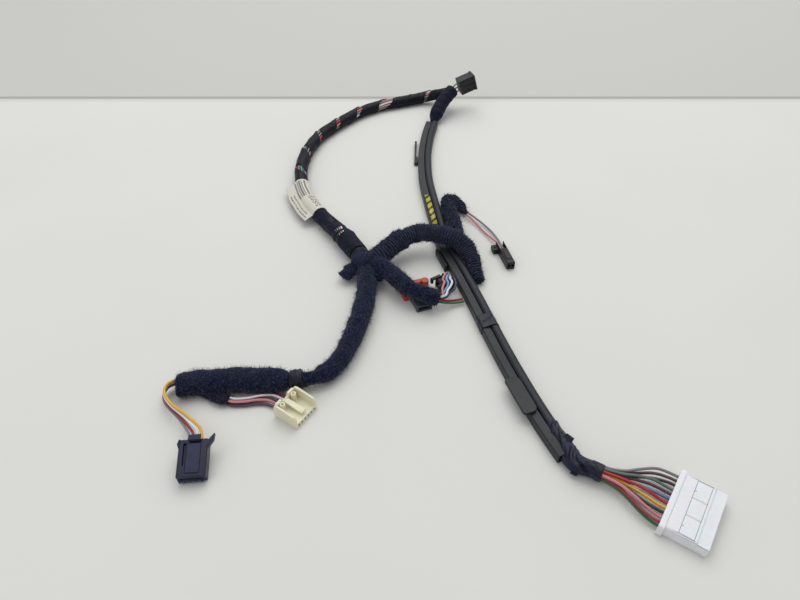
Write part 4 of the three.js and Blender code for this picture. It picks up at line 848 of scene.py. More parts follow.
def floor_material():
    """Plain pale floor with a faint far band, and a painted shade line where the band begins."""
    material, tree, shader = start("plain floor", Specular_IOR_Level=0.15)
    base = bpy.context.scene.harness_colours.floor
    where = tree.node("ShaderNodeTexCoord").outputs["Object"]
    depth = tree.node("ShaderNodeSeparateXYZ", {0: where}).outputs["Y"]
    far = tree.span(depth, 0.2, 0.212, smooth=True)
    # A thin painted shade line where the far band meets the near floor
    seam_shade = tree.span(tree.math("ABSOLUTE", tree.math("SUBTRACT", depth, 0.211)), 0.004, 0.0, smooth=True)
    cloud = tree.noise(where, 9.0, 2.0)
    near = tree.mix(cloud, shaded(base, 0.97), shaded(base, 1.02))
    board = tree.mix(far, near, shaded(base, 0.79))
    tree.feed(
        shader.inputs["Base Color"], tree.mix(tree.math("MULTIPLY", seam_shade, 0.8), board, shaded(base, 0.45))
    )
    tree.feed(shader.inputs["Roughness"], tree.span(cloud, 0.2, 0.8, 0.75, 0.85))
    return material


class HARNESS_OT_stage(bpy.types.Operator):
    """Makes the floor, the soft light and the camera"""
    bl_idname = "harness.stage"
    bl_label = "Stage"

    def execute(self, context):
        scene = context.scene
        scene.view_settings.view_transform = "Standard"
        mesh = bpy.data.meshes.new("floor")
        form = bmesh.new()
        bmesh.ops.create_grid(form, x_segments=8, y_segments=8, size=3.0)
        form.to_mesh(mesh)
        form.free()
        floor = bpy.data.objects.new("floor", mesh)
        scene.collection.objects.link(floor)
        mesh.materials.append(floor_material())
        world = bpy.data.worlds.new("studio")
        scene.world = world
        world.use_nodes = True
        sky = world.node_tree.nodes["Background"]
        sky.inputs["Color"].default_value = (0.93, 0.96, 1.0, 1.0)
        sky.inputs["Strength"].default_value = 0.5
        for name, at, size, power, tint in (
            ("key light", (0.12, 0.75, 1.35), 1.7, 15.0, (1.0, 0.99, 0.97)),
            ("fill light", (-0.7, -0.4, 1.1), 0.9, 2.0, (0.95, 0.97, 1.0)),
        ):
            light = bpy.data.lights.new(name, "AREA")
            light.size = size
            light.energy = power
            light.color = tint
            lamp = bpy.data.objects.new(name, light)
            lamp.location = at
            lamp.rotation_euler = (-Vector(at)).to_track_quat("-Z", "Y").to_euler()
            scene.collection.objects.link(lamp)
        lens = bpy.data.cameras.new("camera")
        lens.sensor_width = 36
        lens.lens = 28.8
        lens.clip_start = 0.005
        camera = bpy.data.objects.new("camera", lens)
        camera.location = (-0.011, -0.3212, 0.242)
        camera.rotation_euler = (math.radians(48), 0, 0)
        scene.collection.objects.link(camera)
        scene.camera = camera
        return {"FINISHED"}


def eased_lead(begin, out, seat, entry, insert):
    """The line of a lead that leaves its bundle straight and bends into a plug's rear."""
    stub = begin + out * 2.5
    near = seat(-2.5, entry[0], entry[1])
    target = seat(0, entry[0], entry[1])
    reach = np.linalg.norm(stub - near)
    aim = unit(near - target)
    points = [begin, stub]
    for share in (0.25, 0.5, 0.75):
        ahead = stub + out * reach * share
        back = near + aim * reach * (1 - share)
        point = ahead + (back - ahead) * ease(share)
        point[2] = stub[2] + (near[2] - stub[2]) * share**3
        points.append(point)
    points += [near, seat(insert, entry[0], entry[1])]
    return points


def lead(name, points, kind, plug, *nodes):
    """One insulated wire."""
    radius = bpy.context.scene.harness_sizes.wire / 2
    line = Route(points)
    count = max(6, int(line.length / 0.7))
    spots = (line.at(np.linspace(0, line.length, count)) - BENCH_ORIGIN) * MM
    curve = bpy.data.curves.new(name, "CURVE")
    curve.dimensions = "3D"
    curve.bevel_depth = radius * MM
    curve.bevel_resolution = 3
    curve.use_fill_caps = True
    spline = curve.splines.new("POLY")
    spline.points.add(count - 1)
    spline.points.foreach_set("co", np.concatenate([spots, np.ones((count, 1))], axis=1).reshape(-1))
    spline.use_smooth = True
    piece = place(name, curve, [wire_material(kind)], "wire_" + kind, *nodes)
    return piece


class HARNESS_OT_leads(bpy.types.Operator):
    """Makes the insulated wires between the bundles and the plugs"""
    bl_idname = "harness.leads"
    bl_label = "Leads"

    def execute(self, context):
        core = Route(CORE_NEAR)
        seat = Seat("white")
        centre = np.array(CORE_NEAR[0], float)
        forward = -core.frame([0])[1][0]
        forward[2] = 0
        forward = unit(forward)
        left = unit(np.cross(UP, forward))
        packing = context.scene.harness_sizes.wire + GAP
        for index, (kind, across, height, column, level) in enumerate(WHITE_LEADS):
            begin = centre + forward * GAP + left * across * packing + UP * height * packing
            points = eased_lead(begin, forward, seat, (row(11, 2.5)[column], level), 2.0)
            name = f"white_plug_lead_{index + 1:02d}"
            lead(name, points, kind, "white_plug_shell", f"white_plug_wire_{index + 1:02d}")
        self.navy_leads()
        self.cream_leads()
        seat = Seat("small")
        for index, (loop, across, kind) in enumerate(((GREY_LOOP, 0.75, "grey"), (PINK_LOOP, -0.75, "pink"))):
            points = loop + [seat(-1.5, across, 2.75), seat(6.7, across, 2.75)]
            lead(
                f"small_plug_lead_{index + 1}", points, kind, "small_plug_shell",
                f"small_plug_wire_{index + 1}"
            )
        self.far_leads()
        self.middle_leads()
        return {"FINISHED"}

    def navy_leads(self):
        """Four leads in a ribbon that turns over on its way to the plug."""
        seat = Seat("navy")
        route = Route(NAVY_RIBBON + [seat(-3.2, 0, 3.2), seat(2, 0, 3.2)])
        for index, kind in enumerate(NAVY_LEADS):
            points = []
            for share in np.linspace(0, 0.86, 11):
                centre, _, left, rise = (value[0] for value in route.frame([share * route.length]))
                angle = math.radians(72) * (1 - ease(share, 0.4, 0.92))
                offset = row(4, 1.4 + 0.4 * ease(share, 0.7, 0.86))[index]
                points.append(centre + left * offset * math.cos(angle) + rise * offset * math.sin(angle))
            hole = row(4, 1.9)[index]
            points += [seat(-0.6, hole, 3.2), seat(2, hole, 3.2)]
            lead(
                f"navy_plug_lead_{index + 1}", points, kind, "navy_plug_shell",
                f"navy_plug_wire_{index + 1}"
            )

    def cream_leads(self):
        """Five leads from the pad's sleeve."""
        route = Route(SLEEVE_ROUTE)
        seat = Seat("cream")
        centre, forward, left, _ = (value[0] for value in route.frame([route.length]))
        for index, kind in enumerate(CREAM_LEADS):
            begin = centre + forward * 0.3 + left * (index - 2) * 0.9
            begin[2] = (1.2, 3)[index % 2]
            out = unit(forward * np.array([1, 1, 0]))
            points = eased_lead(begin, out, seat, (row(5, 1.9)[index], 1.45), 1.8)
            lead(
                f"cream_plug_lead_{index + 1}", points, kind, "cream_plug_shell",
                f"cream_plug_wire_{index + 1}"
            )

    def far_leads(self):
        """Three leads from the far bundle to its plug."""
        route = Route(PROTECTOR_ROUTE[-3:] + CORE_FAR)
        seat = Seat("far")
        centre, forward, _, rise = (value[0] for value in route.frame([route.length]))
        for index, kind in enumerate(FAR_LEADS):
            across = row(3, 3.4)[2 - index]
            points = [
                centre + forward * 0.6 + rise * across * 0.75, seat(-0.8, across, 4.8),
                seat(1.8, across, 4.8)
            ]
            lead(f"far_plug_lead_{index + 1}", points, kind, "far_plug_shell", f"far_plug_wire_{index + 1}")

    def middle_leads(self):
        """Four looping leads into the hook plug, and two that run to the protector."""
        route = Route(MIDDLE_ROUTE)
        seat = Seat("hook")
        end, forward, left, rise = (value[0] for value in route.frame([route.length]))
        begin = end + forward * 0.6 + rise * 1.2
        slot = seat(1.8, 0, 6.4)
        ribbon = Route(
            [begin, begin + forward * 1.4] + HOOK_TURN + [slot + np.array(step) for step in HOOK_DROP]
        )
        ways = row(4, 2.1)
        packing = 0.85
        for index, (kind, across, height) in enumerate(HOOK_LEADS):
            points = []
            for share in (0, 0.14, 0.3, 0.46, 0.6, 0.74):
                centre, _, side, lift = (value[0] for value in ribbon.frame([share * ribbon.length]))
                aside = across * packing + (ways[index] - across * packing) * ease(share, 0.05, 0.5)
                level = height * packing * (1 - ease(share, 0.4, 0.8))
                points.append(centre + side * aside + lift * level)
            hole = seat(1.8, ways[3 - index], 6.4)
            last = points[-1]
            points.append(np.array([
                hole[0] + (last[0] - hole[0]) * 0.25,
                hole[1] + (last[1] - hole[1]) * 0.25,
                hole[2] + 2.5,
            ]))
            points.append(hole + UP * 0.8)
            points.append(hole - UP * 1.6)
            lead(
                f"hook_plug_lead_{index + 1}", points, kind, "hook_plug_shell",
                f"hook_plug_wire_{index + 1}"
            )
        for index, kind in enumerate(("red", "leaf")):
            points = [end + forward * GAP + left * (1 - 2 * index) - rise * 1.9] + PROTECTOR_LEADS[index]
            lead(
                f"protector_lead_{index + 1}", points, kind, "protector_shell",
                f"protector_wire_{index + 1}"
            )


class HARNESS_OT_trunk(bpy.types.Operator):
    """Makes the trunk's wires, the vinyl tape wound round them, and the paper label"""
    bl_idname = "harness.trunk"
    bl_label = "Taped trunk"

    facing = math.radians(60)

    def execute(self, context):
        sizes = context.scene.harness_sizes
        route = Route(TRUNK_ROUTE)
        self.wires(route, sizes.wire / 2)
        tape = self.tape(route, sizes.film)
        self.label(route)
        self.root_wraps(route)
        return {"FINISHED"}

    def root_wraps(self, route):
        """Two woven wraps that lap where the trunk enters the junction; the second one flares."""
        surface = Surface()
        flare = route.near(316.5)
        wraps = (
            (route.near(348.5), flare - 1.2, [(0, 4.95), (1, 5.45)], 0.8, 5.8, 7),
            (flare - 0.4, route.near(302.5), [(0, 6.5), (0.3, 6.2), (1, 5.8)], -1.2, 0.6, 8),
        )
        for low, high, keys, lead_in, cut, seed in wraps:
            v, a = np.meshgrid(np.linspace(0, 1, 70), np.arange(72) * 2 * math.pi / 72, indexing="ij")
            begin = low + lead_in * np.sin(a)
            end = high - cut * np.clip(np.cos(a - 2.2), 0, 1) ** 4
            s = begin + (end - begin) * v
            centre, _, left, rise = route.frame(s.reshape(-1))
            size = keyed(keys, v) + 0.16 * waves(s, a, seed, 16) + 0.07 * waves(s, a, seed + 20, 4, 14, 8)
            reach, turned = size.reshape(-1), a.reshape(-1)
            points = (
                centre + left * (reach * np.cos(turned))[:, None] + rise * (reach * np.sin(turned))[:, None]
            )
            # Mask at both ends of each wrap, where the woven tape material paints shade
            edge = 1 - ease(np.minimum(v, 1 - v), 0.0, 0.05)
            surface.grid(
                points.reshape(v.shape + (3,)), ends=False, edge=edge, along=s, across=a / (2 * math.pi)
            )
        self.opening(route, flare)
        wraps = place("trunk_root_wraps", surface.mesh("trunk_root_wraps"), [cloth_material()], "fleece_wrap")
        thicken(wraps, 0.35)

    def opening(self, route, flare):
        """The few wires that show in the gap between the two wraps."""
        surface = Surface()
        kinds = ["white", "pink", "teal", "grey"]
        stations = np.linspace(flare - 8.5, flare + 0.5, 16)
        centre, _, left, rise = route.frame(stations)
        round_ = np.arange(10) * 2 * math.pi / 10
        for index in range(4):
            turn = 1.85 + 0.27 * index + 0.05 * (stations - flare)
            spot = centre + left * (5.0 * np.cos(turn))[:, None] + rise * (5.0 * np.sin(turn))[:, None]
            grid = (spot[:, None] + left[:, None] * (0.65 * np.cos(round_))[None, :, None]
                    + rise[:, None] * (0.65 * np.sin(round_))[None, :, None])
            surface.grid(grid, paint=index)
        place(
            "trunk_gap_wires", surface.mesh("trunk_gap_wires"), [wire_material(kind) for kind in kinds],
            "wire_white"
        )

    def wires(self, route, radius):
        """A ring of coloured wires round an inner bundle, slowly twisted."""
        surface = Surface()
        kinds = sorted(set(RING_WIRES))
        stations = np.linspace(4, route.length - 4, 150)
        centre, forward, left, rise = route.frame(stations)
        outer = keyed(TRUNK_RADII, stations / route.length) - 0.35 - radius
        rings = [(index, 12, kind, 0.0) for index, kind in enumerate(RING_WIRES)]
        core_wires = ("grey", "white", "pink", "grey", "red", "teal")
        rings += [(index, 6, kind, 1.75) for index, kind in enumerate(core_wires)]
        round_ = np.arange(10) * 2 * math.pi / 10
        for index, share, kind, inset in rings:
            turn = self.facing + 2 * math.pi * (index / share - (stations - 23) / 280)
            wander = 0.05 * np.sin(stations * 0.21 + index * 1.7)
            reach = outer - inset
            spot = (centre + left * (reach * np.cos(turn + wander))[:, None]
                    + rise * (0.96 * reach * np.sin(turn + wander))[:, None])
            grid = (spot[:, None] + left[:, None] * (radius * np.cos(round_))[None, :, None]
                    + rise[:, None] * (radius * np.sin(round_))[None, :, None])
            surface.grid(grid, paint=kinds.index(kind), along=np.repeat(stations, 10), across=0.0)
        mesh = surface.mesh("trunk_wires")
        place("trunk_wires", mesh, [wire_material(kind) for kind in kinds], "wire_grey")

    def tape(self, route, film):
        """One long strip, wound with laps that open where the wires show."""
        places = np.array([turn[0] for turn in TAPE_TURNS], float)
        gaps = np.array([turn[1] for turn in TAPE_TURNS], float)
        numbers = np.arange(len(places), dtype=float)
        pitch = np.gradient(places)
        share = np.where(gaps > 0, gaps / pitch, -0.12)

        def opening(t):
            nearest = np.clip(np.round(t), 0, len(places) - 1).astype(int)
            near = np.cos(np.clip(t - nearest, -0.5, 0.5) * math.pi) ** 2
            return np.where(
                share[nearest] > 0, -0.1 + (share[nearest] + 0.1) * near, -0.12 * np.ones_like(near)
            )

        t = np.arange(0, len(places) - 1.0, 1 / 56)
        v = np.linspace(0, 1, 15)
        turns, across = np.meshgrid(t, v, indexing="ij")
        low = turns + opening(turns) / 2
        high = turns + 1 - opening(turns + 1) / 2
        s = np.interp(low + (high - low) * across, numbers, places)
        s = np.clip(s, 0.5, route.length - 0.5)
        angle = self.facing - 2 * math.pi * turns
        chance = np.random.default_rng(17)
        swell = np.interp(turns, numbers, chance.uniform(-0.22, 0.3, len(places)))
        lap = 0.42 * (1 - ease(across, 0.0, 0.3)) - 0.14 * ease(across, 0.9, 1.0) + swell
        size = keyed(TRUNK_RADII, s / route.length) - 0.16 + lap
        size = size - 0.12 * np.abs(np.sin(6 * (angle + 2 * math.pi * (s - 23) / 280)))
        size = size + 0.1 * waves(s, angle, 3, 9) + 0.06 * waves(s, angle, 4, 3, twist=12)
        flat = s.reshape(-1)
        centre, _, left, rise = route.frame(flat)
        reach = size.reshape(-1)
        turned = angle.reshape(-1)
        points = (
            centre + left * (reach * np.cos(turned))[:, None]
            + rise * (0.96 * reach * np.sin(turned))[:, None]
        )
        surface = Surface()
        grid = points.reshape(len(t), len(v), 3)
        # Mask at the strip's borders, where the vinyl material paints shade at the laps and the open gaps
        edge = np.clip(ease(across, 0.93, 1.0) + (1 - ease(across, 0.0, 0.04)), 0, 1)
        surface.grid(
            grid[:, ::-1], closed=False, edge=edge[:, ::-1], along=s[:, ::-1], across=across[:, ::-1]
        )
        tape = place(
            "trunk_tape", surface.mesh("trunk_tape"), [vinyl_material("trunk tape", 0.46, 0.45, 0.35)],
            "vinyl_tape", "main_trunk"
        )
        return thicken(tape, film)

    def label(self, route):
        """A folded paper label: it wraps the top of the trunk and stands off as a flag."""
        length, begin = 40, 0.678 * route.length + 4
        along = np.linspace(0, length, 90)
        centre, _, left, rise = route.frame(begin + along)
        arc = np.radians(np.linspace(-20, 160, 40))
        grid = []
        for index in range(len(along)):
            radius = 5.3 + 0.1 * math.sin(along[index] * 0.5)
            line = [
                centre[index] + left[index] * math.cos(a) * radius + rise[index] * math.sin(a) * radius
                for a in arc
            ]
            away = -left[index] * 0.93 - rise[index] * 0.35
            for step in np.linspace(0.4, 6.5, 12):
                line.append(
                    line[39] + away * step + rise[index] * 0.05 * step * math.sin(along[index] * 0.35)
                )
            grid.append(line[::-1])
        grid = np.array(grid)
        surface = Surface()
        across = np.broadcast_to(np.linspace(0, 1, grid.shape[1]), grid.shape[:2])
        spread = np.broadcast_to(along[:, None], grid.shape[:2])
        surface.grid(grid, closed=False, along=spread, across=across)
        paper = place(
            "trunk_label", surface.mesh("trunk_label"), [paper_material()], "label_paper", "paper_label"
        )
        thicken(paper, 0.2)


def wound(keys, length, sizes, seed, lean=1.0, rough=1.0, fine=0.0):
    """Radius and lap mask of a bundle that is wound with fleece tape, with fine cross ribs if it has them;
    the material paints shade along the lap mask.
    """
    pitch = sizes.pitch

    def phase(s, a):
        return (s + 0.5 * waves(s, 0 * a, seed + 5, 30, 5, 0)) / pitch + lean * a / (2 * math.pi)

    def radius(s, a):
        beat = phase(s, a) % 1.0
        step = sizes.rib * rough * (0.55 - beat + ease(beat, 0.9, 1.0))
        size = keyed(keys, np.clip(s / length, 0, 1)) - 0.1
        ribs = fine * np.abs(np.sin(math.pi * s / 1.7 + 0.25 * waves(s, a, seed + 3, 9)))
        return size + step + ribs + 0.28 * waves(s, a, seed, 11) + 0.13 * waves(s, a, seed + 1, 3.2, 18, 14)

    def edge(s, a):
        beat = phase(s, a) % 1.0
        return 1 - ease(np.minimum(beat, 1 - beat) / 0.09)

    return radius, edge


def fringe(name, base, count, seed, longest=3.0):
    """Loose fibres over a fleece piece, each a thin closed bent hair."""
    mesh = base.data
    total = len(mesh.polygons)
    areas = np.empty(total)
    mesh.polygons.foreach_get("area", areas)
    centres = np.empty(total * 3)
    mesh.polygons.foreach_get("center", centres)
    normals = np.empty(total * 3)
    mesh.polygons.foreach_get("normal", normals)
    centres, normals = centres.reshape(-1, 3), normals.reshape(-1, 3)
    chance = np.random.default_rng(seed)
    chosen = chance.choice(total, size=count, p=areas / areas.sum())
    root = centres[chosen] / MM + BENCH_ORIGIN - normals[chosen] * 0.1
    lie = chance.normal(size=(count, 3))
    lie /= np.linalg.norm(lie, axis=1, keepdims=True)
    long = chance.uniform(0.3, 1.0, count) ** 2 * longest + 0.35
    out = normals[chosen] * 0.75 + lie * 0.75
    out /= np.linalg.norm(out, axis=1, keepdims=True)
    bend = out + lie * 0.6 - normals[chosen] * 0.35
    bend /= np.linalg.norm(bend, axis=1, keepdims=True)
    middle = root + out * (long * 0.5)[:, None]
    tip = middle + bend * (long * 0.5)[:, None]
    side = np.cross(out, UP)
    side /= np.maximum(np.linalg.norm(side, axis=1, keepdims=True), 1e-6)
    other = np.cross(out, side)
    points = []
    for spot, width in ((root, 0.075), (middle, 0.05)):
        for turn in (0, 2.09, 4.19):
            points.append(spot + (side * math.cos(turn) + other * math.sin(turn)) * width)
    points.append(tip)
    points = np.stack(points, axis=1)
    keep = points[:, :, 2].min(axis=1) > 0.05
    points = points[keep]
    hair = [(0, 2, 1), (0, 1, 4, 3), (1, 2, 5, 4), (2, 0, 3, 5), (3, 4, 6), (4, 5, 6), (5, 3, 6)]
    surface = Surface()
    faces = [tuple(corner + 7 * index for corner in face) for index in range(len(points)) for face in hair]
    surface.keep(points.reshape(-1, 3), faces)
    place(name, surface.mesh(name), [fibre_material()], "fleece_wrap")


def stations_of(length, step):
    """Even places along a length."""
    return np.linspace(0, length, max(8, int(length / step)))


class HARNESS_OT_fleece(bpy.types.Operator):
    """Makes the fleece wound branches, the pad and their loose fibres"""
    bl_idname = "harness.fleece"
    bl_label = "Fleece branches"

    def execute(self, context):
        sizes = context.scene.harness_sizes
        pieces = []
        down = self.branch("down_wrap", "down_branch", DOWN_ROUTE, DOWN_RADII, sizes, 11, 0.45, "brushed")
        arch = self.branch("arch_wrap", "arch_branch", ARCH_ROUTE, ARCH_RADII, sizes, 21, 0.8, "ribbed")
        pieces += [down, arch]
        pieces.append(
            self.branch(
                "side_wrap", "side_branch", SIDE_ROUTE, [(0, 4.4), (1, 4)], sizes, 31, 0.7, "ribbed"
            )
        )
        pieces.append(
            self.branch(
                "twig_wrap", "twig", TWIG_ROUTE, [(0, 3.3), (0.7, 3.0), (1, 1.2)], sizes, 41, 0.6, "ribbed"
            )
        )
        pieces.append(
            self.branch(
                "middle_wrap", "middle_branch", MIDDLE_ROUTE, MIDDLE_RADII, sizes, 51, 0.25, "brushed"
            )
        )
        pieces.append(self.pad(sizes))
        pieces.append(self.lobes())
        room = [sum(face.area for face in piece.data.polygons) for piece in pieces]
        for index, piece in enumerate(pieces):
            fringe(piece.name + "_fibres", piece, int(sizes.hairs * room[index] / sum(room)), 70 + index)
        return {"FINISHED"}

    def branch(self, name, node, points, keys, sizes, seed, rough, lay):
        """One wound branch in place of its solid."""
        route = Route(points)
        fine = 0.45 if lay == "ribbed" else 0.0
        radius, edge = wound(keys, route.length, sizes, seed, rough=rough, fine=fine)
        surface = Surface()
        surface.tube(route, stations_of(route.length, 0.2 if fine else 0.35), radius, 64, edge=edge)
        return place(name, surface.mesh(name), [fleece_material(lay)], "fleece_wrap", node)

    def lobes(self):
        """Two loose ends of fleece tape that stand out of the junction."""
        surface = Surface()
        ends = (
            (
                [(-21, 292.5, 6.4), (-26, 290.6, 6.3), (-29.4, 287.4, 5.6), (-32.4, 283.6, 4.4)],
                [(0, 4.4), (0.5, 4.6), (0.94, 4.3), (1, 3.6)], 0.46
            ),
            (
                [(-19, 288, 6.8), (-15.4, 284, 6.9), (-12.6, 280.6, 6.8), (-10.6, 277.6, 6.6)],
                [(0, 4.4), (0.6, 3.4), (1, 1.2)], 0.6
            ),
        )
        for index, (points, keys, squash) in enumerate(ends):
            route = Route(points)

            def radius(s, a, keys=keys, length=route.length, seed=131 + index):
                return (
                    keyed(keys, s / length) + 0.4 * waves(s, a, seed, 5)
                    + 0.2 * waves(s, a, seed + 9, 2.2, 16, 12)
                )

            surface.tube(route, stations_of(route.length, 0.35), radius, 40, squash=squash)
        return place(
            "junction_lobes", surface.mesh("junction_lobes"), [fleece_material("brushed")], "fleece_wrap"
        )

    def pad(self, sizes):
        """The flat padded bundle with its small sleeve."""
        route = Route(PAD_ROUTE)
        surface = Surface()
        share = np.concatenate(
            [np.linspace(0, 0.12, 30), np.linspace(0.13, 0.9, 130), np.linspace(0.905, 1, 24)]
        )
        outline = [(place_, size) for place_, size in PAD_OUTLINE[1:-1]]
        radius, edge = wound([(a, 7 * b) for a, b in outline], route.length, sizes, 61, rough=0.4)
        surface.tube(route, share * route.length, radius, 96, squash=4.7 / 7, edge=edge)
        sleeve = Route(SLEEVE_ROUTE)
        radius, edge = wound([(0, 3.1), (0.9, 2.9), (1, 2.5)], sleeve.length, sizes, 62, rough=0.3)
        surface.tube(
            sleeve, stations_of(sleeve.length, 0.45), radius, 48, squash=2.4 / 3.3, paint=1, edge=edge
        )
        piece = place(
            "pad_wrap", surface.mesh("pad_wrap"), [fleece_material(), cloth_material()], "fleece_wrap",
            "pad"
        )
        return piece


def creased(keys, length, seed, pitch, step, rough=1.0):
    """Radius and lap mask of a bundle wound with vinyl tape; the materials paint shade along the lap mask."""

    def phase(s, a):
        return (s + 0.4 * waves(s, 0 * a, seed + 5, 12, 5, 0)) / pitch - a / (2 * math.pi)

    def radius(s, a):
        beat = phase(s, a) % 1.0
        lap = step * (0.5 - beat + ease(beat, 0.93, 1.0))
        wrinkle = np.abs(waves(s + a * 2.5, a, seed + 2, 5, 10, 5)) * 0.16
        size = keyed(keys, np.clip(s / length, 0, 1)) - 0.1
        return size + lap + rough * (0.1 * waves(s, a, seed, 7) - wrinkle)

    def edge(s, a):
        beat = phase(s, a) % 1.0
        return 1 - ease(np.minimum(beat, 1 - beat) / 0.05)

    return radius, edge


def tail(surface, root, along, out, length, width, curl):
    """A loose end of tape: a strip that lifts off and curls."""
    root, along, out = np.array(root, float), unit(np.array(along, float)), unit(np.array(out, float))
    normal = unit(np.cross(along, out))
    steps = np.linspace(0, 1, 10)
    grid = []
    for step in steps:
        middle = root + out * length * step + normal * curl * step * step
        grid.append(
            [middle + along * width * (side - 0.5) * (1 - 0.15 * step) for side in np.linspace(0, 1, 6)]
        )
    surface.grid(np.array(grid), closed=False, along=0.0, across=0.0)


class HARNESS_OT_vinyl(bpy.types.Operator):
    """Makes the knot, the tie band and the bundles at the protector's ends, in vinyl tape"""
    bl_idname = "harness.vinyl"
    bl_label = "Vinyl bundles"

    def execute(self, context):
        sizes = context.scene.harness_sizes
        self.knot()
        self.band()
        self.core()
        self.end_wrap()
        tails = Surface()
        tail(tails, (72.6, 167.4, 6.4), (1, -1.1, 0), (0.8, 0.7, 0.35), 4.2, 4.4, 0.6)
        tail(tails, (76.6, 157.0, 3.6), (1, -0.6, 0), (-0.75, -1, -0.3), 4.0, 3.4, 0.5)
        flags = place("tape_tails", tails.mesh("tape_tails"), [vinyl_material()], "vinyl_tape")
        thicken(flags, sizes.film)
        return {"FINISHED"}

    def knot(self):
        """The junction's knot of tape."""
        route = Route(KNOT_ROUTE)
        radius, edge = creased(KNOT_RADII, route.length, 81, 4.2, 0.5, 1.4)
        surface = Surface()
        s = np.linspace(0, route.length, 70)
        surface.tube(
            route, s,
            lambda p, a: radius(p, a) * np.sqrt(np.clip(1 - (1.9 * (p / route.length - 0.5)) ** 8, 0.2, 1)),
            96, 0.92, edge=edge
        )
        over = Route(KNOT_OVER)
        radius, edge = creased(
            [(0, 5.0), (0.2, 6.2), (0.5, 6.5), (0.8, 6.1), (1, 5.2)], over.length, 83, 3.1, 0.5, 1.6
        )
        fold = folded(9, 142, 0.34)
        surface.tube(
            over, stations_of(over.length, 0.2), lambda p, a: radius(p, a) + fold(p, a), 96, 0.9, edge=edge
        )
        place(
            "knot_tape", surface.mesh("knot_tape"), [cloth_material("knot tape", 2.0)], "vinyl_tape",
            "junction_knot"
        )

    def band(self):
        """The tie band in front of the pad."""
        route = Route(DOWN_ROUTE)
        radius, edge = creased([(0, 5.1), (1, 5.1)], route.length, 91, 2.6, 0.6, 2.6)
        surface = Surface()
        s = np.linspace(route.length - 8.2, route.length - 1.2, 40)
        ends = (s[0] + s[-1]) / 2
        surface.tube(
            route, s, lambda p, a: radius(p, a) * np.sqrt(np.clip(1 - ((p - ends) / 3.62) ** 10, 0.5, 1)),
            80, edge=edge
        )
        place(
            "band_tape", surface.mesh("band_tape"), [vinyl_material("tie tape", 0.36, 1.0, 0.7, 0.3)],
            "vinyl_tape", "tie_band"
        )

    def end_wrap(self):
        """Tape that binds the bundle to the end of the protector's ridge, in long slanting folds."""
        line = Route(PROTECTOR_ROUTE)
        points = []
        for s, aside, height in ((17, -2.1, 0.6), (11, -2.1, 0.5), (5, -2.0, 0.4), (0, -1.6, 0.3)):
            centre, _, left, rise = (value[0] for value in line.frame([s]))
            points.append(centre + left * aside + rise * height)
        bundle = [np.array(point, float) for point in reversed(CORE_NEAR)]
        beyond = bundle[-1] + unit(bundle[-1] - bundle[-2]) * 1.1
        route = Route(points + bundle + [beyond])
        keys = [(0, 2.95), (0.06, 3.1), (0.45, 3.5), (0.6, 4.1), (0.8, 3.95), (1, 3.75)]
        radius, edge = creased(keys, route.length, 121, 7.0, 0.3, 0.4)
        fold = folded(8, 122, 0.42)
        surface = Surface()
        s = np.linspace(0, route.length, 110)
        surface.tube(route, s, lambda p, a: radius(p, a) + fold(p, a), 96, edge=edge)
        lobe = []
        for s, aside, height in ((9, 1.3, -0.5), (4, 1.3, -0.5), (0.2, 1.2, -0.4)):
            centre, _, left, rise = (value[0] for value in line.frame([s]))
            lobe.append(centre + left * aside + rise * height)
        lobe = Route(lobe + [np.array(CORE_NEAR[2]) - np.array([1.0, 0.6, 0.6]), np.array(CORE_NEAR[1])])
        surface.tube(
            lobe, stations_of(lobe.length, 0.4),
            lambda p, a: 2.35 + 0.9 * ease(p / lobe.length, 0.4, 0.9) + fold(p + 3, a), 60, 0.85
        )
        place(
            "end_wrap", surface.mesh("end_wrap"), [vinyl_material("bright tape", 0.3, 1.4, 0.25, 0.18)],
            "vinyl_tape"
        )

    def core(self):
        """The wire bundle inside the protector, taped thick at both ends."""
        drop = np.array([0, 0, 0.6])
        inside = [np.array(point, float) - drop for point in PROTECTOR_ROUTE]
        route = Route(CORE_NEAR + inside + CORE_FAR)
        near = route.near(163) - 6
        far = route.length - Route([inside[-1]] + CORE_FAR).length + 12
        surface = Surface()
        keys = [
            (0, 3.6), (near / route.length, 3.6), ((near + 6) / route.length, 1.4),
            ((far - 12) / route.length, 1.4), (far / route.length, 5.5), (1, 5.5)
        ]
        radius, edge = creased(keys, route.length, 95, 6.5, 0.3, 0.35)
        fine = np.concatenate([
            np.linspace(1, near + 8, 60), np.linspace(near + 9, far - 13, 60),
            np.linspace(far - 12, route.length, 110),
        ])
        surface.tube(route, fine, radius, 72, edge=edge)
        place("core_tape", surface.mesh("core_tape"), [cloth_material()], "vinyl_tape", "protector_core")


def folded(count, seed, deep):
    """Long folds that run slantwise over a wrap: the depth at a place along it and an angle."""
    chance = np.random.default_rng(seed)
    folds = [
        (chance.uniform(0, 2 * math.pi), chance.uniform(0.12, 0.3), chance.uniform(0.5, 1))
        for _ in range(count)
    ]

    def depth(s, a):
        total = np.zeros(np.broadcast(s, a).shape)
        for start_angle, slope, size in folds:
            away = (a - start_angle - s * slope + math.pi) % (2 * math.pi) - math.pi
            total += size * np.exp(-((away / 0.22) ** 2)) - 0.6 * size * np.exp(-(((away - 0.35) / 0.2) ** 2))
        return total * deep

    return depth


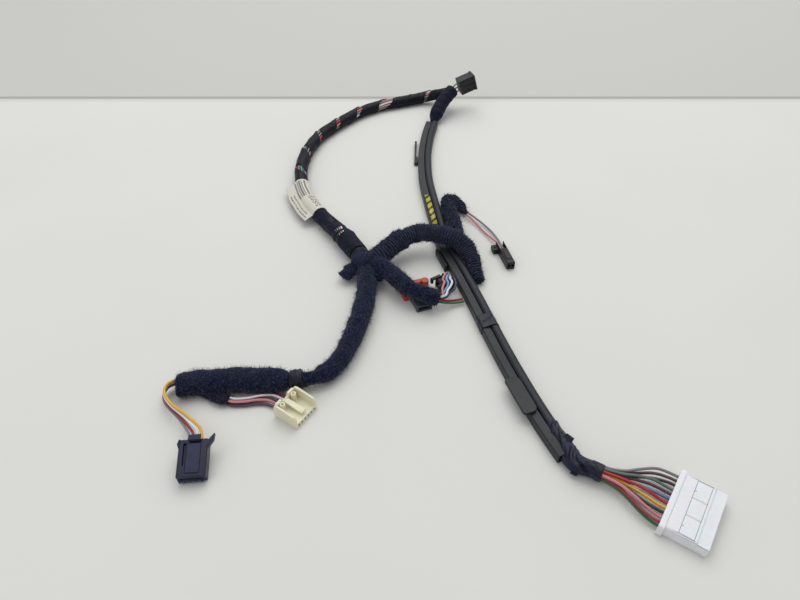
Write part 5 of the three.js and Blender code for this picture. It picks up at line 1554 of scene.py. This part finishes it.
def channel_profile():
    """Outer and inner points of the protector's section, from the slit round to the ridge's lip."""
    outer = []

    def arc(x, y, radius, begin, end, count):
        for angle in np.radians(np.linspace(begin, end, count)):
            outer.append(
                (
                    x + radius * math.cos(angle), y + radius * math.sin(angle), math.cos(angle),
                    math.sin(angle)
                )
            )

    for x in (0.32, 0.5, 1.0, 1.5, 2.0, 2.6, 3.3):
        outer.append((x, 2.0, 0, 1))
    arc(4.0, 1.2, 0.8, 90, 0, 6)
    for y in (0.6, -0.2, -1.0, -1.8):
        outer.append((4.8, y, 1, 0))
    arc(4.0, -2.4, 0.8, 0, -90, 5)
    for x in (2.0, 0.0, -2.0):
        outer.append((x, -3.2, 0, -1))
    arc(-4.0, -2.4, 0.8, -90, -180, 5)
    for y in (-1.6, -0.8, 0.0):
        outer.append((-4.8, y, -1, 0))
    arc(-2.35, 0.62, 2.55, 180, 90, 14)
    arc(-2.0, 0.92, 2.25, 84, 27, 12)
    points = np.array(outer)
    inner = points[:, :2] - 0.9 * points[:, 2:]
    inner[:, 0] = np.clip(inner[:, 0], -3.9, 3.9)
    inner[-6:, 0] = np.minimum(inner[-6:, 0], -0.6)
    inner[:, 1] = np.maximum(inner[:, 1], -2.3)
    return points[:, :2], inner


def swept(route, stations, profile):
    """A grid of the profile's points along a route."""
    centre, _, left, rise = route.frame(stations)
    profile = np.asarray(profile, float)
    return (centre[:, None] + left[:, None] * profile[None, :, 0, None]
            + rise[:, None] * profile[None, :, 1, None])


def plate(surface, route, middle, length, sides, levels, corners, paint=0):
    """A flat plate that lies along a route, with its own corner sizes at its low and high sides."""
    half = length / 2
    low, high = sides
    tight, wide = corners
    outline = []
    turns = ((high - wide, half - wide, 0, wide), (low + tight, half - tight, 90, tight),
             (low + tight, -half + tight, 180, tight), (high - wide, -half + wide, 270, wide))
    for x, s, begin, corner in turns:
        for angle in np.radians(np.linspace(begin, begin + 90, 8)):
            outline.append((x + corner * math.cos(angle), s + corner * math.sin(angle)))
    outline = np.array(outline)
    centre, _, left, rise = route.frame(middle + outline[:, 1])
    top = centre + left * outline[:, :1] + rise * levels[1]
    bottom = centre + left * outline[:, :1] + rise * levels[0]
    count = len(outline)
    points = np.concatenate([bottom, top])
    faces = [
        (index, (index + 1) % count, (index + 1) % count + count, index + count) for index in range(count)
    ]
    faces = [face[::-1] for face in faces]
    faces.append(tuple(range(count)))
    faces.append(tuple(range(2 * count - 1, count - 1, -1)))
    along = np.tile((outline[:, 1] + half) / length, 2)
    across = np.tile((outline[:, 0] - low) / (high - low), 2)
    surface.keep(points, faces, paint, along=along, across=across)


class HARNESS_OT_protector(bpy.types.Operator):
    """Makes the wire protector, its lug, its tape band and its barred label"""
    bl_idname = "harness.protector"
    bl_label = "Wire protector"

    def execute(self, context):
        colours = context.scene.harness_colours
        sizes = context.scene.harness_sizes
        route = Route(PROTECTOR_ROUTE)
        outer, inner = channel_profile()
        surface = Surface()
        stations = stations_of(route.length, 1.2)
        ring = np.concatenate([outer, inner[::-1]])[::-1]
        grid = swept(route, stations, ring)
        around = np.linspace(0, 1, len(ring))
        across = np.broadcast_to(around, grid.shape[:2])
        along = np.broadcast_to(stations[:, None], grid.shape[:2])
        # Ridge mask, stored as the "edge" mark: the material gives the ridge a painted dark reflection
        ridge = np.concatenate([outer, inner[::-1]])[::-1, 0] < 0.1
        surface.grid(
            grid, ends=False, across=across, along=along, edge=np.broadcast_to(ridge * 1.0, grid.shape[:2])
        )
        count = len(outer)
        surface.keep(swept(route, np.array([1.4]), inner)[0], [tuple(range(len(inner)))])
        for end, flip in ((0, False), (len(stations) - 1, True)):
            rim = grid[end]
            faces = [
                (index, index + 1, 2 * count - 2 - index, 2 * count - 1 - index)
                for index in range(count - 1)
            ]
            surface.keep(rim, [face if not flip else face[::-1] for face in faces])
        material = moulded_material(
            "protector plastic", colours.protector, 0.46, 2600.0, 0.03, 0.03, 1.5, streak=True,
            Specular_IOR_Level=0.36
        )
        shell = place(
            "protector_shell", surface.mesh("protector_shell"), [material], "protector_plastic",
            "wire_protector"
        )
        soften(shell, 0.15, 2, 50)
        lug = Surface()
        plate(lug, route, route.near(195.5), 22, (0.35, 8.0), (1.95, 3.65), (3.0, 1.6))
        flap = place("protector_lug", lug.mesh("protector_lug"), [material], "protector_plastic")
        soften(flap, 0.45, 3, 50)
        self.band(route, sizes.film)
        label = Surface()
        plate(label, route, route.near(351.5), 34, (0.4, 4.0), (2.02, 2.5), (0.4, 0.4))
        place("protector_label", label.mesh("protector_label"), [bars_material()], "label_bars", "bar_label")
        clip = moulded_material(
            "clip plastic", colours.clip, 0.45, 2600.0, 0.03, 0.06, Specular_IOR_Level=0.36
        )
        moulded("edge_clip", "edge_clip_body", clip, "clip_plastic", 0.3)
        moulded("lever_clip", "lever_clip_body", clip, "clip_plastic", 0.25)
        return {"FINISHED"}

    def band(self, route, film):
        """Vinyl tape wound tight over the protector."""
        outline = [
            (4.0, -3.0), (4.9, -2.6), (4.95, 1.4), (4.4, 2.25), (2.0, 2.75), (-0.4, 3.3), (-1.6, 3.62),
            (-3.2, 3.35), (-4.5, 2.2), (-5.1, 0.6), (-5.0, -2.6), (-4.0, -3.0)
        ]
        line = Route([(x, y, 0) for x, y in outline])
        ring = line.at(np.linspace(0, line.length, 70))[:, :2]
        middle = route.near(246.5)
        s = np.linspace(middle - 4.8, middle + 4.8, 40)
        grid = swept(route, s, ring)
        centre, _, left, rise = route.frame(s)
        out = grid - centre[:, None]
        out /= np.linalg.norm(out, axis=2, keepdims=True)
        around = np.linspace(0, 2 * math.pi, 70)
        spread, angle = np.meshgrid(s, around, indexing="ij")
        fold = np.exp(-(((spread - s[0]) - 3.2 - 1.5 * (angle - 1.6)) / 0.55) ** 2)
        crease = 0.05 * waves(spread, angle, 97, 5) - 0.34 * fold
        beat = (spread - s[0]) / 9.6 * 2.0 % 1.0
        grid = grid + out * (crease + 0.16 * (0.5 - beat))[..., None]
        surface = Surface()
        # The lap mask marks where the vinyl material paints shade
        surface.grid(grid, closed=False, edge=1 - ease(np.minimum(beat, 1 - beat) / 0.08))
        band = place(
            "protector_band", surface.mesh("protector_band"),
            [vinyl_material("band tape", 0.3, 1.5, 0.12, 0.2)], "vinyl_tape", "protector_tape"
        )
        thicken(band, film)


def moulded(node, name, material, slot, width=None, merge=2.0):
    """A CAD node's form with rounded edges, in place of the node."""
    source = NODES[node]
    mesh = bpy.data.meshes.new(name)
    form = bmesh.new()
    form.from_mesh(source.data)
    bmesh.ops.remove_doubles(form, verts=form.verts, dist=2e-6)
    bmesh.ops.dissolve_limit(form, angle_limit=math.radians(merge), verts=form.verts, edges=form.edges)
    bmesh.ops.triangulate(form, faces=[face for face in form.faces if len(face.verts) > 4])
    form.to_mesh(mesh)
    form.free()
    mesh.materials.clear()
    for face in mesh.polygons:
        face.use_smooth = True
        face.material_index = 0
    piece = place(name, mesh, [material], slot, node)
    soften(piece, width or bpy.context.scene.harness_sizes.round)
    return piece


def bordered(low, high, lip, step):
    """Places across a plate: its two side walls, its rounded lips and its middle."""
    inner = np.linspace(low + lip * 1.3, high - lip * 1.3, int((high - low) / step))
    return np.concatenate(
        [[low], np.linspace(low, low + lip, 6), inner, np.linspace(high - lip, high, 6), [high]]
    )


def lock_plate(material):
    """The white plug's slide-in lock: three square pads between two grooves, with two latch notches."""
    rear, front, half, low, high, lip = 7.52, 13.48, 13.88, 5.1, 6.0, 0.25
    x, y = np.meshgrid(bordered(rear, front, lip, 0.22), bordered(-half, half, lip, 0.14), indexing="ij")
    border = np.minimum(np.minimum(x - rear, front - x), half - np.abs(y))
    drop = lip - np.sqrt(np.maximum(lip * lip - np.clip(lip - border, 0, lip) ** 2, 0))
    groove = 0.5 * (1 - ease(np.abs(np.abs(y) - half / 3), 0.12, 0.42))
    notch = 0.7 * (1 - ease(x, rear + 0.7, rear + 0.95)) * (1 - ease(np.abs(np.abs(y + 0.9) - 9.2), 0.3, 0.5))
    z = high - drop - np.maximum(groove, notch)
    z[[0, -1]] = low
    z[:, [0, -1]] = low
    seat = Seat("white")
    surface = Surface()
    surface.grid(seat.many(np.stack([x, y, z], axis=-1))[:, ::-1], closed=False)
    under = [(rear, -half, low), (rear, half, low), (front, half, low), (front, -half, low)]
    surface.keep(seat.many(under), [(0, 1, 2, 3)])
    place(
        "white_plug_lock_plate", surface.mesh("white_plug_lock_plate"), [material], "white_nylon",
        "white_plug_lock"
    )


def terminals(name, seat, places, front, size, depth, open_part, tint):
    """The open ends of crimped terminals that stand in a plug's slots."""
    surface = Surface()
    wide, high = size
    for y, z in places:
        rings = []
        for x, part in (
            (front - depth, 1.0), (front, 1.0), (front, open_part), (front - depth * 0.7, open_part * 0.9)
        ):
            rings.append([seat(x, y + part * a * wide / 2, z + part * b * high / 2)
                          for a, b in ((-1, -1), (0, -1), (1, -1), (1, 0), (1, 1), (0, 1), (-1, 1), (-1, 0))])
        surface.grid(np.array(rings))
    metal = moulded_material(name + " metal", tint, 0.4, 3000.0, 0.02, 0.02, 1.4, Metallic=0.4)
    place(name, surface.mesh(name), [metal], "black_nylon")


class HARNESS_OT_plugs(bpy.types.Operator):
    """Makes the seven moulded plugs with their locks"""
    bl_idname = "harness.plugs"
    bl_label = "Plugs"

    def execute(self, context):
        colours = context.scene.harness_colours
        milk = moulded_material(
            "white nylon", colours.milk, 0.34, 3000.0, 0.02, 0.05, 1.05, Subsurface_Weight=0.25,
            Subsurface_Scale=0.002
        )
        ivory = moulded_material(
            "cream nylon", colours.ivory, 0.36, 3000.0, 0.02, 0.05, 1.05, Subsurface_Weight=0.25,
            Subsurface_Scale=0.002
        )
        marine = moulded_material(
            "navy nylon", colours.marine, 0.38, 3000.0, 0.02, 0.04, 3.0, Specular_IOR_Level=0.4
        )
        ink = moulded_material(
            "black nylon", colours.ink, 0.42, 3000.0, 0.02, 0.05, 1.8, Specular_IOR_Level=0.36
        )
        slate = moulded_material("slate nylon", colours.slate, 0.42, 3000.0, 0.02, 0.08, 1.5)
        rust = moulded_material("orange nylon", colours.rust, 0.4, 3000.0, 0.03, 0.1, 1.3)
        moulded("white_plug_housing", "white_plug_shell", milk, "white_nylon", 0.25)
        lock_plate(milk)
        moulded("navy_plug_housing", "navy_plug_shell", marine, "navy_nylon", 0.25)
        moulded("navy_plug_retainer", "navy_plug_retainer_arch", marine, "navy_nylon", 0.2)
        moulded("cream_plug_housing", "cream_plug_shell", ivory, "cream_nylon", 0.2)
        moulded("small_plug_housing", "small_plug_shell", ink, "black_nylon", 0.2)
        moulded("far_plug_housing", "far_plug_shell", ink, "black_nylon", 0.22)
        moulded("hook_plug_housing", "hook_plug_shell", ink, "black_nylon", 0.22)
        moulded("lock_plug_housing", "lock_plug_shell", slate, "slate_nylon", 0.25)
        moulded("lock_plug_slide", "lock_plug_slide_bar", rust, "orange_nylon", 0.25)
        # The cream plug's terminals are tinted near black: painted shade in its slots
        terminals(
            "cream_plug_terminals", Seat("cream"), [(y, 1.45) for y in row(6, 2.2)], 13.3, (1.0, 0.8), 3,
            0.6, srgb(34, 30, 28)
        )
        terminals(
            "navy_plug_terminals", Seat("navy"), [(y - 0.85, 1.55) for y in row(4, 2.5)], 17.5,
            (1.66, 1.26), 3, 0.74,
            srgb(110, 118, 138),
        )
        return {"FINISHED"}


class HARNESS_PT_panel(bpy.types.Panel):
    """Lists the harness's pieces, sizes and colours"""
    bl_idname = "HARNESS_PT_panel"
    bl_label = "Wiring harness"
    bl_space_type = "VIEW_3D"
    bl_region_type = "UI"
    bl_category = "Harness"

    def draw(self, context):
        layout = self.layout
        for operator in OPERATORS:
            layout.operator(operator.bl_idname)
        for group in (context.scene.harness_sizes, context.scene.harness_colours):
            box = layout.box()
            for name in group.__annotations__:
                box.prop(group, name)


OPERATORS = (
    HARNESS_OT_stage, HARNESS_OT_plugs, HARNESS_OT_leads, HARNESS_OT_trunk, HARNESS_OT_fleece,
    HARNESS_OT_vinyl,
    HARNESS_OT_protector,
)
CLASSES = (HARNESS_PG_sizes, HARNESS_PG_colours) + OPERATORS + (HARNESS_PT_panel,)


def register():
    """Registers the classes and the scene's settings."""
    for item in CLASSES:
        bpy.utils.register_class(item)
    bpy.types.Scene.harness_sizes = bpy.props.PointerProperty(type=HARNESS_PG_sizes)
    bpy.types.Scene.harness_colours = bpy.props.PointerProperty(type=HARNESS_PG_colours)


def unregister():
    """Takes the settings and the classes away."""
    del bpy.types.Scene.harness_colours
    del bpy.types.Scene.harness_sizes
    for item in reversed(CLASSES):
        bpy.utils.unregister_class(item)


def main():
    """Builds the whole harness."""
    register()
    for operator in OPERATORS:
        group, call = operator.bl_idname.split(".")
        getattr(getattr(bpy.ops, group), call)()


if __name__ == "__main__":
    main()
